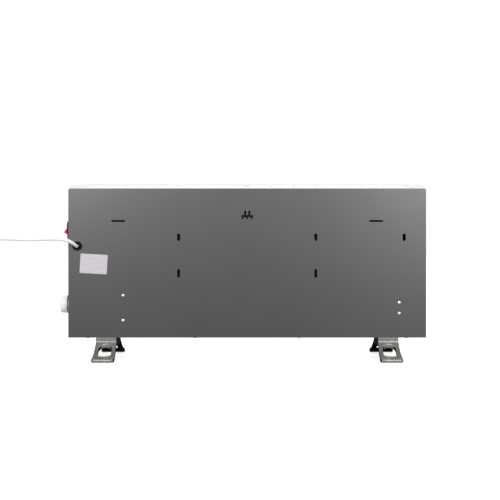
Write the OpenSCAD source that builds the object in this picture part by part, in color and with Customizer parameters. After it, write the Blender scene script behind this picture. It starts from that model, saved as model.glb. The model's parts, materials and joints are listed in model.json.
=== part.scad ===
// Wall panel convector heater on two arched feet, millimetres.
// +Z is up, the front faces -Y, the rear panel faces +Y and the floor is Z = 0.
// Modules draw in the heater's own frame: x across from the middle of the casing,
// y = 0 on the outer face of the rear panel and negative towards the front.

/* [Casing] */
// Width of the rear panel
panel_w = 830; // [800:5:960]
// Height of the rear panel
panel_h = 346; // [330:2:400]
// Depth from the rear panel to the front face
casing_d = 82; // [78:1:100]
// Height of the body above the floor
floor_gap = 49; // [46:1:60]
// How far each end widens from the rear to the front
flare = 2.5; // [0:0.5:10]
// Rise of the casing's front edge above the rear panel
top_rise = 12; // [8:0.5:16]
// Thickness of the steel sheets
sheet_t = 0.8; // [0.6:0.1:1]
// Wall of the plastic ends
cap_wall = 2.5; // [2.2:0.1:3]
// Width of a plastic end along the rear panel
cap_w = 12; // [10:0.5:16]
// Radius of the front top edge
top_r = 14; // [8:1:18]
// Radius of the front bottom edge
bottom_r = 12; // [8:1:16]
// Radius of the front corner of each end
side_r = 10; // [6:1:12]
// Cut corner of the rear panel
panel_cut = 3; // [2:0.5:10]

/* [Wall slots] */
// Distance between the two horizontal hook slots
hook_spacing = 598; // [560:2:620]
// Length of a hook slot
hook_slot_l = 32; // [28:1:40]
// Height of a hook slot
hook_slot_h = 4; // [3.5:0.5:6]
// Drop of the hook slots below the top of the rear panel
hook_drop = 75.5; // [66:0.5:82]
// Distance between the two middle keyholes
key_spacing = 318; // [280:2:340]
// Length of a keyhole
key_l = 16.5; // [14:0.5:20]
// Width of a keyhole at its wide end
key_w = 7; // [6:0.5:9]
// Drop of the keyholes below the top of the rear panel
key_drop = 113.5; // [106:0.5:120]
// Length of a lower spacer slot
spacer_l = 20; // [18:0.5:24]
// Width of a lower spacer slot
spacer_w = 6.5; // [5:0.5:8]
// Drop of the spacer slots below the top of the rear panel
spacer_drop = 197; // [180:1:205]
// Distance of the third keyhole from the plain end of the rear panel
key_inset = 51; // [44:1:60]

/* [Feet] */
// Distance from the middle of a foot to the end of the rear panel
foot_inset = 88; // [70:1:104]
// Width of a foot under the body
foot_w = 48; // [42:1:56]
// Width of a foot at its rear toe
toe_w = 51; // [42:1:60]
// Width of a foot at its front toe
toe_front_w = 57; // [44:1:62]
// Reach of the rear toe behind the rear panel
toe_rear = 70; // [60:1:90]
// Reach of the front toe beyond the front face
toe_front = 58; // [50:1:80]
// Height of a toe
toe_h = 8.3; // [6:0.1:10]
// Width of the opening in each leg
leg_hole_w = 30; // [24:1:32]

/* [Controls] */
// Diameter of the thermostat knob
knob_d = 42; // [36:1:46]
// Length of the thermostat knob
knob_l = 16; // [13:0.5:20]
// Height of the knob's axis above the bottom of the casing
knob_h = 75; // [66:1:90]
// Diameter of the thermostat shaft
shaft_d = 6; // [5:0.5:6.5]
// Height of the switch frame
switch_h = 40; // [38:0.5:44]
// Width of the switch frame
switch_w = 31; // [30:0.5:34]
// Drop of the switch's axis below the top of the rear panel
switch_drop = 96.5; // [84:0.5:104]
// Travel of a rocker
rocker_travel = 36; // [28:1:36]

/* [Heating element] */
// Height of the element's axis above the bottom of the casing
element_h = 69; // [64:1:80]
// Distance between the two legs of the element tube
leg_spacing = 24; // [22:1:28]
// Diameter of the element tube
tube_d = 8; // [7:0.5:9]
// Length of the fins
fin_l = 26; // [20:1:28]
// Height of the heat shield
shield_h = 270; // [240:5:280]

/* [Lead] */
// Diameter of the mains lead
cord_d = 7.8; // [6.8:0.1:8.4]
// Diameter of the strain relief's flange
bush_d = 22.5; // [20:0.5:25]
// Length of the strain relief outside the panel
bush_out = 8; // [7:0.5:10]
// Turns in each layer of the coil
coil_turns = 2; // [1:1:3]

/* [Hidden] */
$fn = 48;
// Overrun of every cut
over = 1;
// Clearance between fixed pieces
fit = 0.2;
// Clearance round a turning pin
turn_fit = 0.05;
// Clearance between pieces that move past each other
run_fit = 0.4;

base_z = floor_gap;
top_z = floor_gap + panel_h;
half_w = panel_w / 2;
joint_x = half_w - cap_w;
top_slope = atan(top_rise / (casing_d - top_r));
side_slope = atan(flare / casing_d);
cap_front_x = half_w + (casing_d - side_r) * tan(side_slope) - side_r / cos(side_slope) + side_r;

// Controls stand on a raised seat at the middle of the controls' end
control_y = -casing_d / 2;
seat_proud = 2.5;
seat_x = half_w + casing_d / 2 * tan(side_slope) + seat_proud;
seat_t = 8;
ring_t = 1.5;
knob_gap = 1.5;
knob_x = seat_x + ring_t + knob_gap;
knob_reach = knob_x + knob_l;
knob_z = base_z + knob_h;
switch_z = top_z - switch_drop;

// The origin is under the middle of everything but the lead
body_x = -(knob_reach - cap_front_x) / 2;
rear_y = (casing_d + toe_front - toe_rear) / 2;

flange_inset = cap_wall + 2 * fit;
flange_d = 12;

// Rear panel features
hook_z = top_z - hook_drop;
key_z = top_z - key_drop;
side_key_x = -half_w + key_inset;
spacer_z = top_z - spacer_drop;
key_tip_w = 4;
lance_w = 27;
lance_h = 20;
lance_drop = 62;
lance_z = top_z - lance_drop;
lance_gap = 4.5;
tongue_w = 5;
lance_toe_share = 0.4;
bush_inset = 21;
bush_drop = 133.5;
bush_x = half_w - bush_inset;
bush_z = top_z - bush_drop;
label_inset = 59;
label_drop = 175;
label_x = half_w - label_inset;
label_z = top_z - label_drop;
label_w = 63;
label_h = 45;
label_t = 0.4;
label_turn = -3.2;

// Element and its brackets
element_z = base_z + element_h;
element_y = -45;
bracket_inset = 135;
bracket_left_inset = 70.5;
bracket_x = half_w - bracket_inset;
bracket_left_x = -half_w + bracket_left_inset;
bracket_w = 16;
bracket_h = 76;
bracket_left_h = 48;
bracket_t = 1.2;
bracket_screw = 29;
bracket_left_screw = 12.4;
shield_gap = 9;
shield_y = -(casing_d - sheet_t - shield_gap);
bush_r = 7;
element_bush_l = 10;
fin_t = 2;
fin_end_gap = 16;
tube_out = 26;
tube_tail = 10;
shield_rise = 16;

// Screws
screw_head_r = 3.75;
screw_head_h = 2.2;
screw_r = 1.9;
screw_l = 8;
hole_r = 2.1;
screw_proud = 2;
m5_r = 2.5;
m5_hole_r = 2.75;
m5_head_r = 4.6;
m5_head_h = 3.2;

// Feet
foot_x = half_w - foot_inset;
foot_face_h = 10.5;
foot_wall = 10;
hub_t = 18;
toe_sole = 13;
toe_r = 7;
plate_t = 2;
foot_screw_y = 20;
plate_margin = 4;
plate_w = foot_w - 2 * plate_margin;
plate_d = 56;

// Mains lead
cord_r = cord_d / 2;
cord_sides = 8;
bush_flange_t = 3;
bush_neck_r = 7.4;
bush_root_r = 8.4;
bush_tip_wall = 2;
bush_tail_r = 6.4;
bush_lip_r = 9;
bush_lip_t = 2;
bush_tail = 14;
plug_r = 18;
plug_l = 34;
plug_neck_l = 22;
plug_neck_r = 7;
plug_neck_taper = 2;
plug_shoulder = 4;
plug_taper = 1;
pin_r = 2.4;
pin_l = 19;
pin_spacing = 19;

// The lead leaves the strain relief, bends away and hangs down to its coil
route = [
    [383.7, 43, 261.5], [383.7, 45, 261.5], [384.2, 51, 262.4], [385.8, 58.6, 264.9],
    [388.8, 65, 268.4], [393.4, 70.2, 271.8], [399.6, 74.2, 274.6], [407.2, 76.8, 276.6],
    [415.8, 78.2, 277.8], [426.2, 78.6, 278.4], [440.2, 78.6, 278.4], [456.2, 78.8, 278],
    [473.2, 79, 277.5], [491.2, 79.2, 277.3], [509.2, 79.5, 277.7], [527.2, 80, 278.5],
    [545.2, 80.8, 279.2], [564.2, 81.8, 278.6], [583.2, 83, 275], [601.2, 84.4, 268.4],
    [618.2, 85.6, 258.8], [634.2, 86.6, 246], [648.2, 87.4, 230.2], [660.2, 87.8, 211.8],
    [669.6, 88, 192], [676.2, 88, 171], [680.2, 88, 149.6], [682, 88, 128], [682.2, 88, 106],
    [682.2, 88, 85], [682.2, 88, 65], [682.2, 86.6, 49], [682.2, 82, 35], [682.2, 74, 22.8],
    [682.2, 63.2, 13.2], [682.2, 50.6, 7], [682.2, 38, 4.4], [682.2, 26, 3.9], [682.2, 15, 3.9]
];
// The coil starts where the route ends and winds in, up and out again
coil_gap = 0.6;
coil_r = 50;
coil_step = cord_d + coil_gap;
coil_rings = 24;
coil_sides = 6;
quarter_rings = coil_rings / 4;
lead_out = 42;

// Points on an arc in its plane
function arc(cx, cy, r, from, to, n) =
    [for (i = [0:n]) [cx + r * cos(from + (to - from) * i / n), cy + r * sin(from + (to - from) * i / n)]];

// Height of the sloping top at a depth y, for a surface inset below it
function slope_z(y, inset) = top_z - y * tan(top_slope) - inset / cos(top_slope);

// Side outline of the casing in (y, z), open behind y = back
function section(inset, back) = concat(
    [[back, base_z + inset], [back, slope_z(back, inset)]],
    arc(-(casing_d - top_r), slope_z(-(casing_d - top_r), top_r), top_r - inset, 90 - top_slope, 180, 10),
    arc(-(casing_d - bottom_r), base_z + bottom_r, bottom_r - inset, 180, 270, 10)
);

// Plan of the controls' end in (x, y), from x = start, open behind y = back
function end_plan(inset, start, back) = concat(
    [[start, back], [half_w - back * tan(side_slope) - inset / cos(side_slope), back]],
    arc(half_w + (casing_d - side_r) * tan(side_slope) - side_r / cos(side_slope), -(casing_d - side_r),
        side_r - inset, side_slope, -90, 10),
    [[start, -(casing_d - inset)]]
);

// Vectors
function unit(v) = v / norm(v);
function tangent(p, i) = unit(p[min(i + 1, len(p) - 1)] - p[max(i - 1, 0)]);
function across(v, t) = unit(v - (v * t) * t);
function any_side(t) = abs(t.z) < 0.9 ? across([0, 0, 1], t) : across([0, 1, 0], t);
function sides(p, i, last) =
    i >= len(p) ? [] : let (n = across(last, tangent(p, i))) concat([n], sides(p, i + 1, n));
function bezier(a, b, c, d, n) = [for (i = [0:n]) let (t = i / n)
    pow(1 - t, 3) * a + 3 * t * pow(1 - t, 2) * b + 3 * t * t * (1 - t) * c + pow(t, 3) * d];

// A smooth path from a to d whose ends run straight for a short way, towards b and from c
straight_l = 1.5;
function lead_path(a, b, c, d) = let (s = straight_l * unit(b - a), e = straight_l * unit(c - d))
    concat([a], bezier(a + s, b, c, d + e, 12), [d]);

// A tube swept along points, with flat ends square to its first and last steps
module tube(p, r, count) {
    n = sides(p, 0, any_side(tangent(p, 0)));
    last = len(p) - 1;
    rings = [for (i = [0:last]) for (k = [0:count - 1]) let (t = tangent(p, i))
        p[i] + r * (cos(360 * k / count) * n[i] + sin(360 * k / count) * cross(t, n[i]))];
    skin = [for (i = [0:last - 1]) for (k = [0:count - 1]) let (
            a = i * count + k, b = i * count + (k + 1) % count, c = a + count, d = b + count)
        for (face = [[a, c, b], [b, c, d]]) face];
    start_cap = [for (k = [1:count - 2]) [0, k, k + 1]];
    end_cap = [for (k = [1:count - 2]) [last * count, last * count + k + 1, last * count + k]];
    polyhedron(rings, concat(skin, start_cap, end_cap));
}

module placed() {
    translate([body_x, rear_y, 0]) children();
}

// Extrude a (y, z) outline along x
module along_x(start, length) {
    translate([start, 0, 0]) rotate([90, 0, 90]) linear_extrude(length) children();
}

// Extrude an (x, z) outline forwards from y = start
module forwards(start, length) {
    translate([0, start, 0]) rotate([90, 0, 0]) linear_extrude(length) children();
}

// A rod along y, from y = start forwards
module rod_y(x, z, start, length, r) {
    translate([x, start, z]) rotate([90, 0, 0]) cylinder(r = r, h = length);
}

// A rod along x, from x = start outwards
module rod_x(start, y, z, length, r) {
    translate([start, y, z]) rotate([0, 90, 0]) cylinder(r = r, h = length);
}

module box(low, high) {
    translate(low) cube(high - low);
}

module slot_2d(length, width) {
    square([length - width, width], center = true);
    for (side = [-1, 1]) translate([side * (length - width) / 2, 0]) circle(d = width);
}

// A hole that narrows from its wide top to its tip
module keyhole_2d() polygon([
    [-key_w / 2, key_l / 2], [key_w / 2, key_l / 2], [key_w / 2, 0],
    [key_tip_w / 2, -key_l / 4], [key_tip_w / 2, -key_l / 2],
    [-key_tip_w / 2, -key_l / 2], [-key_tip_w / 2, -key_l / 4], [-key_w / 2, 0]
]);

function bracket_spots(x, offset) = [for (side = [1, -1]) [x, element_z + side * offset]];
function screw_spots() = concat(
    bracket_spots(bracket_x + bracket_w / 2, bracket_screw),
    bracket_spots(bracket_left_x - bracket_w / 2, bracket_left_screw)
);

module panel_outline_2d() {
    polygon([[-half_w, base_z], [half_w, base_z], [half_w, top_z - panel_cut], [half_w - panel_cut, top_z],
        [-half_w + panel_cut, top_z], [-half_w, top_z - panel_cut]]);
}

module lance_2d() {
    for (side = [-1, 1]) translate([side * (tongue_w + lance_gap) / 2, lance_z + lance_h / 4])
        square([lance_gap, lance_h / 2], center = true);
    translate([0, lance_z - lance_gap / 2]) square([lance_w, lance_gap], center = true);
    for (side = [-1, 0, 1]) translate([side * lance_toe_share * lance_w, lance_z - lance_h / 3])
        square([lance_gap, lance_gap], center = true);
}

module panel_fold_2d(inset) translate([-half_w + inset, base_z + inset])
    square([panel_w - 2 * inset, panel_h - 2 * inset]);

module rear_panel() color("dimgray") placed() difference() {
    union() {
        forwards(0, sheet_t) difference() {
            panel_outline_2d();
            for (side = [-1, 1]) translate([side * hook_spacing / 2, hook_z])
                slot_2d(hook_slot_l, hook_slot_h);
            for (x = [-key_spacing / 2, key_spacing / 2, side_key_x]) translate([x, key_z]) keyhole_2d();
            for (side = [-1, 1]) translate([side * key_spacing / 2, spacer_z]) rotate(90)
                slot_2d(spacer_l, spacer_w);
            for (spot = screw_spots()) translate(spot) circle(r = hole_r);
            translate([bush_x, bush_z]) circle(r = bush_neck_r + fit / 2);
            lance_2d();
        }
        // Fold round the inside of the casing
        forwards(-sheet_t, flange_d) difference() {
            panel_fold_2d(flange_inset);
            panel_fold_2d(flange_inset + sheet_t);
        }
    }
    casing_screw_spots() cylinder(r = screw_r, h = screw_l);
}

// Top openings and grille inserts
grille_edge = 22;
grille_start = 14;
grille_d = 50;
grille_rim = 3;
grille_t = 1;
grille_gap = 1.6;
vanes = 5;
vane_t = 1.2;
vane_d = 9;
vane_tilt = 35;
ribs = 6;
grille_l = joint_x - grille_edge - grille_gap / 2;

// Local frame of the sloping top: y runs back down the slope, z is square to it
module on_slope() {
    translate([0, 0, top_z]) rotate([-top_slope, 0, 0]) children();
}

// Bottom inlet slots
inlet_w = 7;
inlet_l = 44;
inlet_pitch = 14;
inlet_margin = 16;
inlet_half = foot_x - foot_w / 2 - inlet_margin;
inlet_count = floor(inlet_half / inlet_pitch);

module foot_screw_spots() {
    for (foot = [-1, 1]) for (side = [-1, 1])
        translate([foot * foot_x, control_y + side * foot_screw_y, 0]) children();
}

module casing_screw_spots() {
    for (side = [-1, 1]) for (share = casing_screw_shares)
        translate([side * share * joint_x, -sheet_t - flange_d / 2, base_z]) children();
}
// Places of the bottom screws as shares of half the casing
casing_screw_shares = [0.3, 0.92];

module front_casing() color("white") placed() difference() {
    along_x(-joint_x, 2 * joint_x) difference() {
        polygon(section(0, -sheet_t));
        polygon(section(sheet_t, over));
    }
    for (side = [0, 1]) mirror([side, 0, 0]) on_slope()
        box([grille_gap / 2 + grille_rim, -grille_start - grille_d + grille_rim, -5 * over],
            [grille_gap / 2 + grille_l - grille_rim, -grille_start - grille_rim, 5 * over]);
    translate([0, 0, base_z - over]) linear_extrude(sheet_t + 2 * over)
        for (i = [-inlet_count:inlet_count]) translate([i * inlet_pitch, control_y]) rotate(90)
            slot_2d(inlet_l, inlet_w);
    foot_screw_spots() translate([0, 0, base_z - over]) cylinder(r = m5_hole_r, h = sheet_t + 2 * over);
    casing_screw_spots() translate([0, 0, -over]) cylinder(r = screw_r, h = sheet_t + 2 * over);
}

module cap_shell() difference() {
    intersection() {
        translate([0, 0, base_z - over]) linear_extrude(panel_h + 3 * top_rise)
            polygon(end_plan(0, joint_x, -sheet_t));
        along_x(joint_x, 2 * cap_w + 2 * flare) polygon(section(0, -sheet_t));
    }
    intersection() {
        translate([0, 0, base_z - over]) linear_extrude(panel_h + 3 * top_rise)
            polygon(end_plan(cap_wall, joint_x - over, over));
        along_x(joint_x - over, 2 * cap_w + 2 * flare) polygon(section(cap_wall, over));
    }
}

// Lip that slides into the end of the front casing
lip_l = 8;
module cap_lip() along_x(joint_x - lip_l, lip_l + over) difference() {
    polygon(section(sheet_t + fit / 2, -sheet_t));
    polygon(section(cap_wall, over));
}

frame_lip_h = 2.5;
frame_lip_w = 2;
switch_body_h = switch_h - 2 * frame_lip_h;
switch_body_w = switch_w - 2 * frame_lip_w;
switch_margin = 2;
switch_seat_w = switch_w + 2 * switch_margin;
switch_seat_h = switch_h + 2 * switch_margin;
knob_margin = 3;
nose_wall = 2;
nose_r = shaft_d / 2 + nose_wall;

module end_cap_controls() color("whitesmoke") placed() difference() {
    union() {
        cap_shell();
        cap_lip();
        // Round seat under the knob and square seat under the switch
        rod_x(seat_x - seat_t, control_y, knob_z, seat_t, knob_d / 2 + knob_margin);
        box([seat_x - seat_t, control_y - switch_seat_w / 2, switch_z - switch_seat_h / 2],
            [seat_x, control_y + switch_seat_w / 2, switch_z + switch_seat_h / 2]);
    }
    rod_x(joint_x, control_y, knob_z, knob_reach - joint_x, nose_r + fit);
    at_screws(joint_x, knob_reach - joint_x, m3_r + fit);
    at_screws(seat_x - m3_head_h - fit, knob_reach - joint_x, m3_head_r + fit);
    box([joint_x, control_y - switch_body_w / 2 - fit, switch_z - switch_body_h / 2 - fit],
        [knob_reach, control_y + switch_body_w / 2 + fit, switch_z + switch_body_h / 2 + fit]);
}

module end_cap_plain() color("whitesmoke") placed() mirror([1, 0, 0]) {
    cap_shell();
    cap_lip();
}

module grille_insert() on_slope() {
    low_y = -grille_start - grille_d;
    inner = grille_rim + fit;
    x0 = grille_gap / 2;
    // Rim that lies on the casing and a collar that drops through it
    difference() {
        box([x0, low_y, 0], [x0 + grille_l, -grille_start, grille_t]);
        box([x0 + inner + vane_t, low_y + inner + vane_t, -over],
            [x0 + grille_l - inner - vane_t, -grille_start - inner - vane_t, grille_t + over]);
    }
    difference() {
        box([x0 + inner, low_y + inner, -vane_d], [x0 + grille_l - inner, -grille_start - inner, 0]);
        box([x0 + inner + vane_t, low_y + inner + vane_t, -vane_d - over],
            [x0 + grille_l - inner - vane_t, -grille_start - inner - vane_t, over]);
    }
    inside_d = grille_d - 2 * (inner + vane_t);
    for (i = [1:vanes])
        translate([x0 + inner, low_y + inner + vane_t + inside_d * i / (vanes + 1), -vane_d / 2])
            rotate([vane_tilt, 0, 0]) translate([0, -vane_t / 2, -vane_d / 2 + vane_t])
                cube([grille_l - 2 * inner, vane_t, vane_d - vane_t]);
    inside_l = grille_l - 2 * inner;
    for (i = [1:ribs])
        translate([x0 + inner + inside_l * i / (ribs + 1) - vane_t / 2, low_y + inner, -vane_d])
            cube([vane_t, grille_d - 2 * inner, vane_d]);
}

module outlet_grille_right() color("gainsboro") placed() grille_insert();
module outlet_grille_left() color("gainsboro") placed() mirror([1, 0, 0]) grille_insert();

// Thermostat: plate and box inside the end, a nose through its seat and a shaft in the nose
m3_r = 1.5;
m3_head_r = 2.8;
m3_head_h = 1.8;
thermostat_screw = 14;
thermostat_t = 19;
thermostat_w = 28;
thermostat_h = 36;
plate_x = seat_x - seat_t;
nose_drop = 1;
nose_x = seat_x - nose_drop;
knob_face_t = 4;
shaft_end_x = knob_reach - knob_face_t;
flat_depth = 1;
thermostat_lip = 3;
thermostat_box_w = thermostat_w - 2 * thermostat_lip;

// Rods along x at the thermostat's two screws
module at_screws(start, length, r) for (side = [-1, 1])
    rod_x(start, control_y, knob_z + side * thermostat_screw, length, r);

module thermostat_body() color("tan") placed() difference() {
    union() {
        box([plate_x - bracket_t, control_y - thermostat_w / 2, knob_z - thermostat_h / 2],
            [plate_x, control_y + thermostat_w / 2, knob_z + thermostat_h / 2]);
        box([plate_x - thermostat_t, control_y - thermostat_box_w / 2, knob_z - thermostat_h / 3],
            [plate_x - bracket_t, control_y + thermostat_box_w / 2, knob_z + thermostat_h / 3]);
        rod_x(plate_x, control_y, knob_z, nose_x - plate_x, nose_r);
    }
    rod_x(plate_x - thermostat_t / 2, control_y, knob_z, knob_reach - joint_x, shaft_d / 2 + turn_fit);
    at_screws(plate_x - thermostat_t, knob_reach - joint_x, m3_r);
}

module thermostat_screws() color("silver") placed() {
    at_screws(plate_x - bracket_t - screw_proud, seat_t + bracket_t + screw_proud - fit, m3_r);
    at_screws(seat_x - m3_head_h, m3_head_h - fit, m3_head_r);
}

// Round shaft with a flat along its outer part
module shaft_shape(grow) difference() {
    start = plate_x - thermostat_t / 2 + fit;
    rod_x(start, control_y, knob_z, shaft_end_x + grow - start, shaft_d / 2 + grow);
    box([knob_x - grow, control_y - shaft_d, knob_z + shaft_d / 2 - flat_depth + grow],
        [knob_reach, control_y + shaft_d, knob_z + shaft_d]);
}

module thermostat_shaft() color("silver") placed() shaft_shape(0);

knob_skirt_t = 3.5;
knob_flutes = 24;
knob_edge = 1.2;
knob_taper = 1;
flute_r = 1.6;
module thermostat_knob() color("ivory") placed() difference() {
    translate([knob_x, control_y, knob_z]) rotate([0, 90, 0]) rotate_extrude($fn = 96) polygon([
        [0, 0], [knob_d / 2 - knob_edge / 2, 0], [knob_d / 2, knob_edge / 2], [knob_d / 2, knob_skirt_t],
        [knob_d / 2 - knob_taper, knob_skirt_t + knob_edge],
        [knob_d / 2 - 2 * knob_taper, knob_l - knob_edge],
        [knob_d / 2 - 2 * knob_taper - knob_edge, knob_l], [0, knob_l]
    ]);
    for (i = [0:knob_flutes - 1])
        translate([knob_x, control_y, knob_z]) rotate([360 * i / knob_flutes, 0, 0])
            translate([knob_skirt_t + knob_edge, 0, knob_d / 2 - flute_r / 3]) rotate([0, 90, 0])
                cylinder(r = flute_r, h = knob_l);
    // Pointer groove on the face
    box([knob_reach - knob_edge / 2, control_y - knob_edge / 2, knob_z + knob_d / 5],
        [knob_reach + over, control_y + knob_edge / 2, knob_z + knob_d / 2 - 2 * knob_taper - knob_edge]);
    intersection() {
        shaft_shape(turn_fit);
        rod_x(knob_x - over, control_y, knob_z, knob_l, knob_d / 4);
    }
}

ring_proud = 1;
module dial_ring() color("black") placed() difference() {
    rod_x(seat_x, control_y, knob_z, ring_t, knob_d / 2 + ring_proud);
    rod_x(seat_x - over, control_y, knob_z, ring_t + 2 * over, shaft_d);
}

// Switch: frame on its seat, body behind it and two rockers side by side
frame_t = 3;
frame_x = seat_x + frame_t;
pivot_back = 9.5;
pivot_x = frame_x - pivot_back;
switch_wall = 1.1;
switch_floor = 2.5;
rocker_rib = 2;
// Wells in the housing and the rockers in them
well_w = (switch_body_w - 2 * switch_wall - rocker_rib) / 2;
rocker_w = well_w - run_fit;
rocker_hole = 32;
rocker_hole_w = 2 * well_w + rocker_rib;
switch_deep = 26;
switch_back_x = frame_x - switch_deep;
pin_r_rocker = 1.5;
rocker_pin_l = 0.7;
tip_r = 18.9;
tip_turn = 17.6;
tip_a = tip_turn + rocker_travel / 2;
end_r = 14.5;
end_a = 67.2;
valley = 12;
rocker_back = 5;

function rocker_side(y_side) = control_y + y_side * (rocker_rib + well_w) / 2;

module switch_housing() color("black") placed() difference() {
    union() {
        box([seat_x, control_y - switch_w / 2, switch_z - switch_h / 2],
            [frame_x, control_y + switch_w / 2, switch_z + switch_h / 2]);
        box([switch_back_x, control_y - switch_body_w / 2, switch_z - switch_body_h / 2],
            [seat_x, control_y + switch_body_w / 2, switch_z + switch_body_h / 2]);
    }
    for (side = [-1, 1])
        box([switch_back_x + switch_floor, rocker_side(side) - well_w / 2, switch_z - rocker_hole / 2],
            [frame_x + over, rocker_side(side) + well_w / 2, switch_z + rocker_hole / 2]);
    translate([pivot_x, control_y + rocker_hole_w / 2 + rocker_pin_l + fit, switch_z]) rotate([90, 0, 0])
        cylinder(r = pin_r_rocker + turn_fit, h = rocker_hole_w + 2 * (rocker_pin_l + fit));
}

// Side outline of a rocker about its pivot, tilted so that its lower end stands out
module rocker_shape(side) translate([pivot_x, rocker_side(side), switch_z]) {
    rotate([90, 0, 0]) rotate(rocker_travel / 2) translate([0, 0, -rocker_w / 2]) linear_extrude(rocker_w)
        polygon([
            [valley, 0], [tip_r * cos(tip_a), tip_r * sin(tip_a)], [end_r * cos(end_a), end_r * sin(end_a)],
            [-rocker_back, end_r / 2], [-rocker_back, -end_r / 2],
            [end_r * cos(end_a), -end_r * sin(end_a)], [tip_r * cos(tip_a), -tip_r * sin(tip_a)]
        ]);
    translate([0, rocker_w / 2 + rocker_pin_l, 0]) rotate([90, 0, 0])
        cylinder(r = pin_r_rocker, h = rocker_w + 2 * rocker_pin_l);
}

module rocker_rear() color("red") placed() rocker_shape(1);
module rocker_front() color("red") placed() rocker_shape(-1);

blade_w = 6.3;
blade_t = 0.8;
blade_l = 9;
// Heights of the switch blades as shares of its body
blade_shares = [-0.3, 0, 0.3];
module switch_terminals() color("goldenrod") placed() for (side = [-1, 1]) for (share = blade_shares)
    translate([switch_back_x - blade_l, rocker_side(side) - blade_w / 2,
        switch_z + share * switch_body_h - blade_t / 2]) cube([blade_l, blade_w, blade_t]);

// Strain relief: flange and tapered snout outside, neck and lip through the panel
module cord_bushing() color("black") placed() difference() {
    union() {
        rod_y(bush_x, bush_z, bush_flange_t, bush_flange_t, bush_d / 2);
        translate([bush_x, 0, bush_z]) rotate([-90, 0, 0])
            cylinder(r1 = bush_root_r, r2 = cord_r + bush_tip_wall, h = bush_out);
        rod_y(bush_x, bush_z, 0, sheet_t + fit, bush_neck_r);
        rod_y(bush_x, bush_z, -sheet_t - fit, bush_lip_t, bush_lip_r);
        rod_y(bush_x, bush_z, -sheet_t, bush_tail, bush_tail_r);
    }
    rod_y(bush_x, bush_z, bush_out + over, bush_out + bush_tail + 3 * over, cord_r + fit / 2);
}

// Lead inside: jacket through the strain relief and three cores to the terminal block
block_w = 32;
block_h = 20;
block_d = 14;
block_reach = 64;
block_drop = 12;
block_x = bush_x - block_reach;
block_z = bush_z - block_drop;
jacket_in = 20;
core_r = 1.3;
core_gap = 0.13;
core_pitch = 2 * core_r + core_gap;
core_sides = 6;
// Heights of the three poles as shares of the block
pole_shares = [-0.33, 0, 0.33];
function pole(i) = block_z + pole_shares[i] * block_h;
module lead_inside() color("white") placed() {
    rod_y(bush_x, bush_z, bush_out, bush_out + jacket_in, cord_r);
    for (i = [0, 1, 2]) tube(lead_path([bush_x, -jacket_in, bush_z + (i - 1) * core_pitch],
        [bush_x, -jacket_in - block_d, bush_z + (i - 1) * core_pitch],
        [block_x + block_w + block_d, -block_d / 2 - sheet_t, pole(i)],
        [block_x + block_w, -block_d / 2 - sheet_t, pole(i)]), core_r, core_sides);
}

module power_cord() color("white") tube(route, cord_r, cord_sides);

// Centre line of the coil
coil_end = route[len(route) - 1];
coil_x = coil_end.x - coil_r;
coil_total = 360 * 2 * coil_turns;
function coil_rise(a) = let (s = min(1, max(0, (a - coil_total / 2 + 90) / 180))) s * s * (3 - 2 * s);
function coil_point(a) = let (r = coil_r - coil_step * (coil_total / 2 - abs(coil_total / 2 - a)) / 360)
    [coil_x + r * cos(-a), coil_end.y + r * sin(-a), coil_end.z + coil_step * coil_rise(a)];
function ease(s) = s * s * (3 - 2 * s);
lead_out_steps = 5;
coil_top = coil_end.z + coil_step;
coil_path = concat(
    [coil_end, coil_end - [0, cord_d, 0]],
    [for (i = [1:2 * coil_turns * coil_rings - 1])
        coil_point(360 * i / coil_rings) - [0, cord_d * max(0, 1 - i / quarter_rings), 0]],
    [for (i = [0:lead_out_steps]) [coil_end.x, coil_end.y - (lead_out - cord_d) * i / lead_out_steps,
        coil_top + (plug_r - coil_top) * ease(i / lead_out_steps)]],
    [[coil_end.x, coil_end.y - lead_out, plug_r]]
);
// Least gap between parts of the coil that are not neighbours along it
coil_least = min([for (i = [0:len(coil_path) - 1]) for (j = [i + coil_rings / 2:1:len(coil_path) - 1])
    norm(coil_path[i] - coil_path[j]) - cord_d]);
echo(coil_least_gap = coil_least);

module power_cord_coil() color("white") tube(coil_path, cord_r, coil_sides);

plug_y = coil_end.y - lead_out;
module plug_frame() translate([coil_end.x, plug_y, plug_r]) rotate([90, 0, 0]) children();
module plug_body() color("white") plug_frame() difference() {
    union() {
        cylinder(r1 = plug_neck_r, r2 = plug_neck_r + plug_neck_taper, h = plug_neck_l);
        translate([0, 0, plug_neck_l])
            cylinder(r1 = plug_neck_r + plug_shoulder, r2 = plug_r - plug_taper, h = plug_l / 2);
        translate([0, 0, plug_neck_l + plug_l / 2]) cylinder(r = plug_r, h = plug_l / 2);
    }
    // Side channels for the earth clips
    for (side = [-1, 1]) translate([side * plug_r, 0, plug_neck_l + plug_l])
        cube([plug_r / 3, plug_r / 2, plug_l], center = true);
}
module plug_pins() color("silver") plug_frame() {
    for (side = [-1, 1]) translate([0, side * pin_spacing / 2, plug_neck_l + plug_l])
        cylinder(r = pin_r, h = pin_l);
    // Earth clips in the side channels
    for (side = [-1, 1])
        translate([side * (plug_r - plug_r / 6 + blade_t / 2), 0, plug_neck_l + plug_l * 3 / 4])
            cube([blade_t, plug_r / 3, plug_l / 2 - fit], center = true);
}

module rating_label() color("white") placed()
    translate([label_x, label_t, label_z]) rotate([0, label_turn, 0]) rotate([90, 0, 0])
        linear_extrude(label_t) square([label_w, label_h], center = true);

module pan_screw(spot) {
    translate([spot.x, 0, spot.y]) rotate([-90, 0, 0]) {
        cylinder(r = screw_head_r, h = screw_head_h / 2);
        translate([0, 0, screw_head_h / 2])
            cylinder(r1 = screw_head_r, r2 = screw_head_r / 2, h = screw_head_h / 2);
    }
    rod_y(spot.x, spot.y, 0, screw_l, screw_r);
}
module rear_screws() color("silver") placed() for (spot = screw_spots()) pan_screw(spot);

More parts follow.
